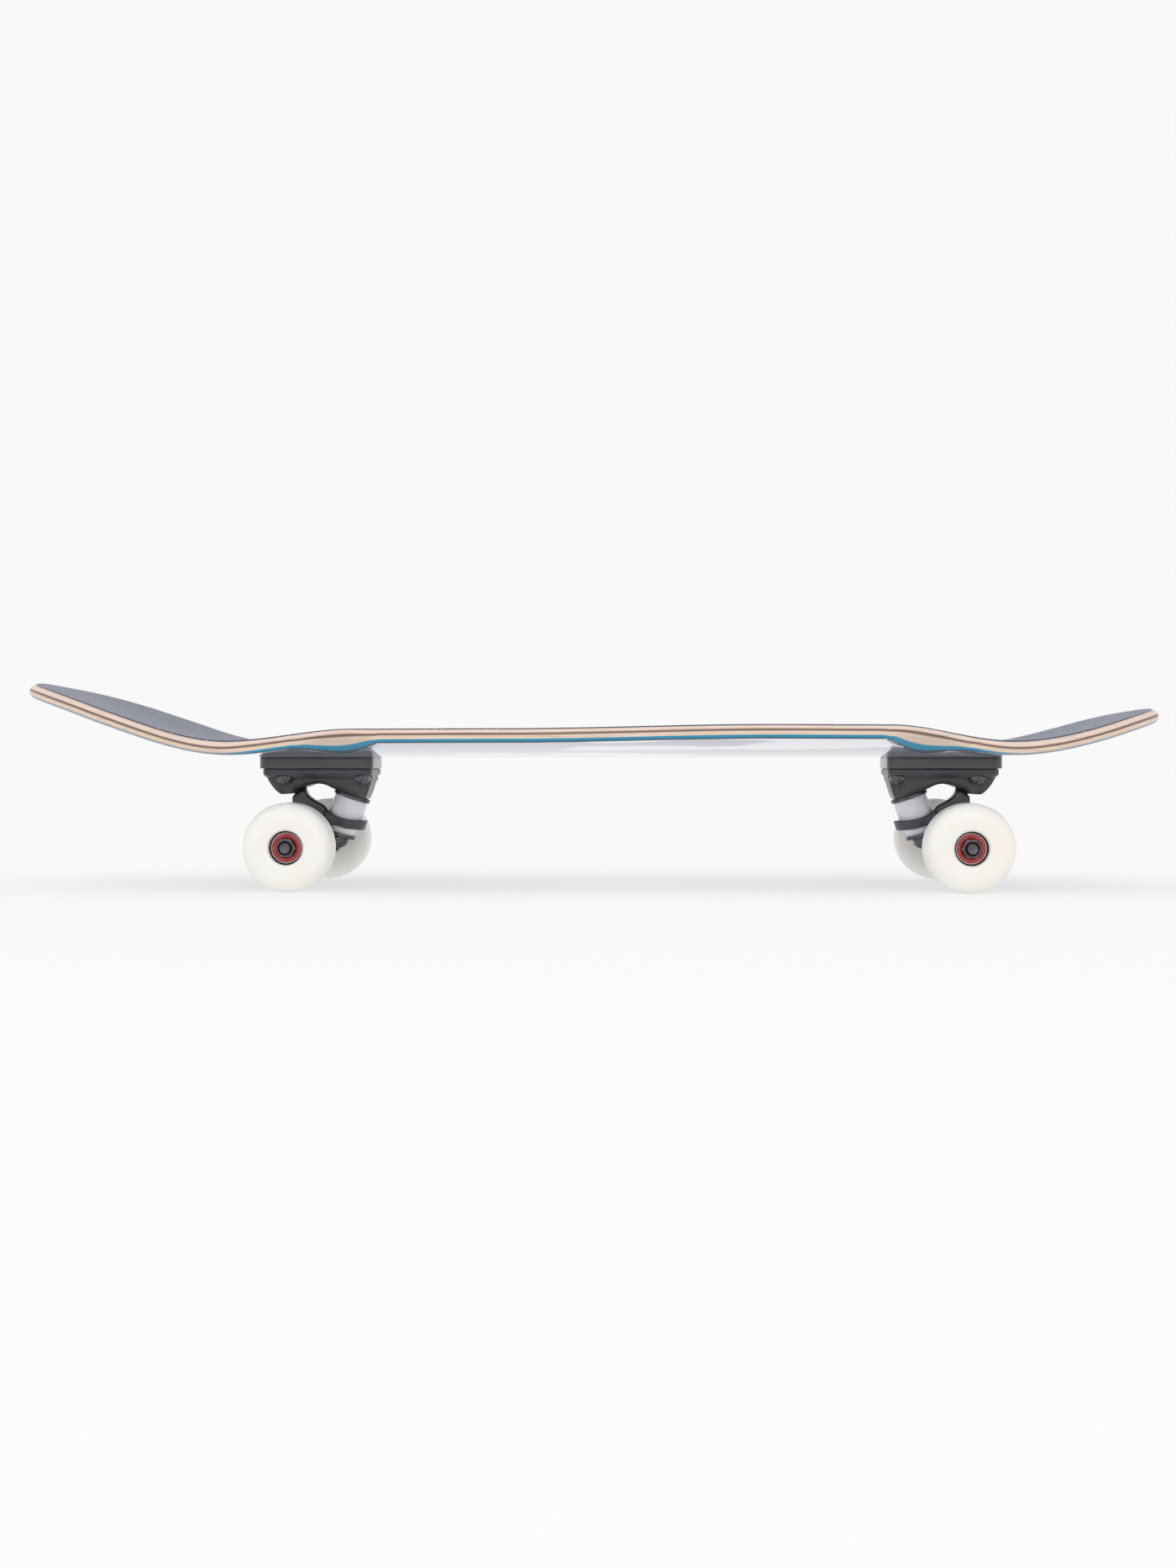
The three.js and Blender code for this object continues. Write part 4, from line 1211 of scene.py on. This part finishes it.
class SKATEBOARD_OT_wheels(Maker, bpy.types.Operator):
    """Make the urethane wheels"""

    bl_idname = "skateboard.wheels"
    bl_label = "Wheels"
    settings = "skateboard_wheel"

    def make(self, look):
        urethane = urethane_finish("wheel_urethane", look.urethane, look.urethane_shade, 0.36, 6)
        for label in CORNERS:
            low, high = box(f"{label}_wheel")
            _, half_width, radius = (high - low) / 2
            profile = self.profile(radius, half_width, look.tread_half / MM)
            mesh = turned_mesh("wheel", profile, 160, ALONG_Y, (low + high) / 2, closed=True)
            made = new_object(f"{label}_wheel_tyre", mesh, urethane)
            placed(made, f"{label}_rolling", "wheel", f"{label}_wheel")

    def profile(self, radius, half_width, tread_half):
        """Half a section, mirrored: tread, a lip whose radius falls off as a quarter
        ellipse, a dished face, and the seat and land for the bearings."""
        angle = np.linspace(0, np.pi / 2, 26)
        fall, seat, land = 9.5, 11.06, 4.8
        x = radius - fall * (1 - np.cos(angle))
        lip = np.stack([x, tread_half + (half_width - tread_half) * np.sin(angle)], -1)
        face = [
            (lip[-1, 0] - 0.5, half_width), (13, half_width - 0.3, 1),
            (11.7, half_width - 0.7, 0.5), (seat, half_width - 1.6, 0.3), (seat, land), (9, land),
        ]
        return mirrored(np.concatenate([lip, softened(face, 6)]))


# Half the section of a bearing as radius and depth, from its middle outwards: outer race,
# retaining ring, shield and inner race.
BEARING_PROFILE = (
    (11, 0), (11, 3.2), (10.75, 3.5), (10.1, 3.5), (9.95, 3.25),
    (9.95, 3.2), (9.8, 3.42), (9.5, 3.42), (9.35, 3.2),
    (9.35, 3.05), (9.0, 3.0), (8.4, 3.12), (7.6, 3.16), (6.9, 3.12), (6.5, 2.9), (6.3, 2.75),
    (6.2, 2.75), (6.15, 3.4), (5.95, 3.6), (5.75, 3.9), (4.15, 3.9), (4.05, 3.7), (4.05, 0),
)
SHIELD_INSIDE, SHIELD_WIDTH = 6.3, 3.05
SHIELD_FROM, CLIP_FROM, CLIP_TO, FACE_DEPTH = 6.22, 9.3, 9.97, 2.6


class SKATEBOARD_OT_bearings(Maker, bpy.types.Operator):
    """Make the ball bearings: races, retaining rings and red shields"""

    bl_idname = "skateboard.bearings"
    bl_label = "Bearings"
    settings = "skateboard_wheel"

    def make(self, look):
        race = steel_finish("bearing_race", srgb(52, 50, 52), 0.3, 0.9)
        clip = steel_finish("bearing_clip", srgb(240, 226, 222), 0.35, 0.2)
        shield = shield_finish(look)
        for label in CORNERS:
            for place in ("inner", "outer"):
                node = f"{label}_{place}_bearing"
                made = new_object(f"{node}_set", self.bearing(node), race, clip, shield)
                placed(made, f"{label}_rolling", "bearing", node)

    def bearing(self, node):
        """The section turned round the axle, with its place round the axle and across
        the shield as attributes."""
        sides = 96
        profile = mirrored(np.array(BEARING_PROFILE))
        centre = box(node).mean(0)
        turn = np.repeat((np.abs(np.arange(sides) / sides * 2 - 1) / 2)[None], len(profile), 0)
        out = np.repeat((profile[:, :1] - SHIELD_INSIDE) / SHIELD_WIDTH, sides, 1)
        points = revolved(profile, sides, ALONG_Y, centre)
        mesh = mesh_from("bearing", points, wrap_rows=True, turn=turn, out=out)
        self.paint(mesh, centre)
        return mesh

    def paint(self, mesh, centre):
        """The material of each face by its radius: 0 race, 1 retaining ring, 2 shield.
        The ring and the shield are only on the two flat faces."""
        middle = np.zeros(len(mesh.polygons) * 3)
        mesh.polygons.foreach_get("center", middle)
        middle = middle.reshape(-1, 3) / MM - centre
        radius = np.hypot(middle[:, 0], middle[:, 2])
        on_face = np.abs(middle[:, 1]) > FACE_DEPTH
        kind = np.where(on_face & (radius > CLIP_FROM) & (radius < CLIP_TO), 1, 0)
        kind = np.where(on_face & (radius > SHIELD_FROM) & (radius <= CLIP_FROM), 2, kind)
        mesh.polygons.foreach_set("material_index", kind.astype(np.int32))


# ---------------------------------------------------------------- stage


class SKATEBOARD_OT_stage(Maker, bpy.types.Operator):
    """Set the pale floor, the soft light and the camera"""

    bl_idname = "skateboard.stage"
    bl_label = "Stage"
    settings = "skateboard_stage"

    def make(self, look):
        scene = bpy.context.scene
        scene.view_settings.view_transform = "Standard"
        self.floor(look)
        self.light(scene, look)
        self.camera(scene, look)

    def floor(self, look):
        """A wide round sheet, just under the wheels."""
        radius, depth, sides = 30000, -0.05, 96
        ring = around(radius, depth, sides)
        mesh = bpy.data.meshes.new("floor")
        mesh.from_pydata((ring * MM).tolist(), [], [list(range(sides))])
        finish = Finish("floor_paint", look.floor, 0.9, Specular_IOR_Level=0.0)
        finish.set("Emission Color", (*look.floor_glow, 1)).set("Emission Strength", 1.0)
        mesh.materials.append(finish.material)
        linked("floor", mesh)

    def light(self, scene, look):
        scene.world = bpy.data.worlds.new("surround")
        scene.world.use_nodes = True
        surround = scene.world.node_tree.nodes["Background"]
        surround.inputs["Color"].default_value = (*look.surround, 1)
        lamp = bpy.data.lights.new("overhead", "SUN")
        lamp.energy = look.lamp
        lamp.angle = math.radians(70)
        linked("overhead", lamp).rotation_euler = (math.radians(24), math.radians(-8), 0)
        panel = bpy.data.lights.new("front_panel", "AREA")
        panel.shape, panel.size, panel.size_y = "RECTANGLE", 2.4, 1.0
        panel.energy = look.fill
        made = linked("front_panel", panel)
        made.location = (0.05, -2.4, 0.75)
        made.rotation_euler = (math.radians(74), 0, 0)

    def camera(self, scene, look):
        """Low in front of the board's side, just right of its middle."""
        camera = bpy.data.cameras.new("camera")
        camera.lens = look.lens
        camera.clip_start, camera.clip_end = 0.01, 100
        made = linked("camera", camera)
        made.location = (0.051, -1.520, 0.08475)
        made.rotation_euler = (math.radians(89.42), 0, math.radians(1.97))
        scene.camera = made


# ---------------------------------------------------------------- panel and registration

OPERATORS = (
    SKATEBOARD_OT_stage,
    SKATEBOARD_OT_deck,
    SKATEBOARD_OT_grip,
    SKATEBOARD_OT_risers,
    SKATEBOARD_OT_castings,
    SKATEBOARD_OT_kingpins,
    SKATEBOARD_OT_bushings,
    SKATEBOARD_OT_fasteners,
    SKATEBOARD_OT_axles,
    SKATEBOARD_OT_wheels,
    SKATEBOARD_OT_bearings,
)
SETTINGS = {
    "skateboard_deck": DeckSettings,
    "skateboard_truck": TruckSettings,
    "skateboard_wheel": WheelSettings,
    "skateboard_stage": StageSettings,
}


class SKATEBOARD_PT_panel(bpy.types.Panel):
    """Lists the pieces of the skateboard and their settings"""

    bl_label = "Skateboard"
    bl_idname = "SKATEBOARD_PT_panel"
    bl_space_type = "VIEW_3D"
    bl_region_type = "UI"
    bl_category = "Skateboard"

    def draw(self, context):
        for operator in OPERATORS:
            self.layout.operator(operator.bl_idname)
        for key, group in SETTINGS.items():
            box = self.layout.box()
            for name in group.__annotations__:
                box.prop(getattr(context.scene, key), name)


def register():
    for group in SETTINGS.values():
        bpy.utils.register_class(group)
    for key, group in SETTINGS.items():
        setattr(bpy.types.Scene, key, PointerProperty(type=group))
    for operator in OPERATORS:
        bpy.utils.register_class(operator)
    bpy.utils.register_class(SKATEBOARD_PT_panel)


def unregister():
    bpy.utils.unregister_class(SKATEBOARD_PT_panel)
    for operator in reversed(OPERATORS):
        bpy.utils.unregister_class(operator)
    for key in SETTINGS:
        delattr(bpy.types.Scene, key)
    for group in reversed(SETTINGS.values()):
        bpy.utils.unregister_class(group)


def main():
    register()
    for operator in OPERATORS:
        group, name = operator.bl_idname.split(".")
        getattr(getattr(bpy.ops, group), name)()


if __name__ == "__main__":
    main()
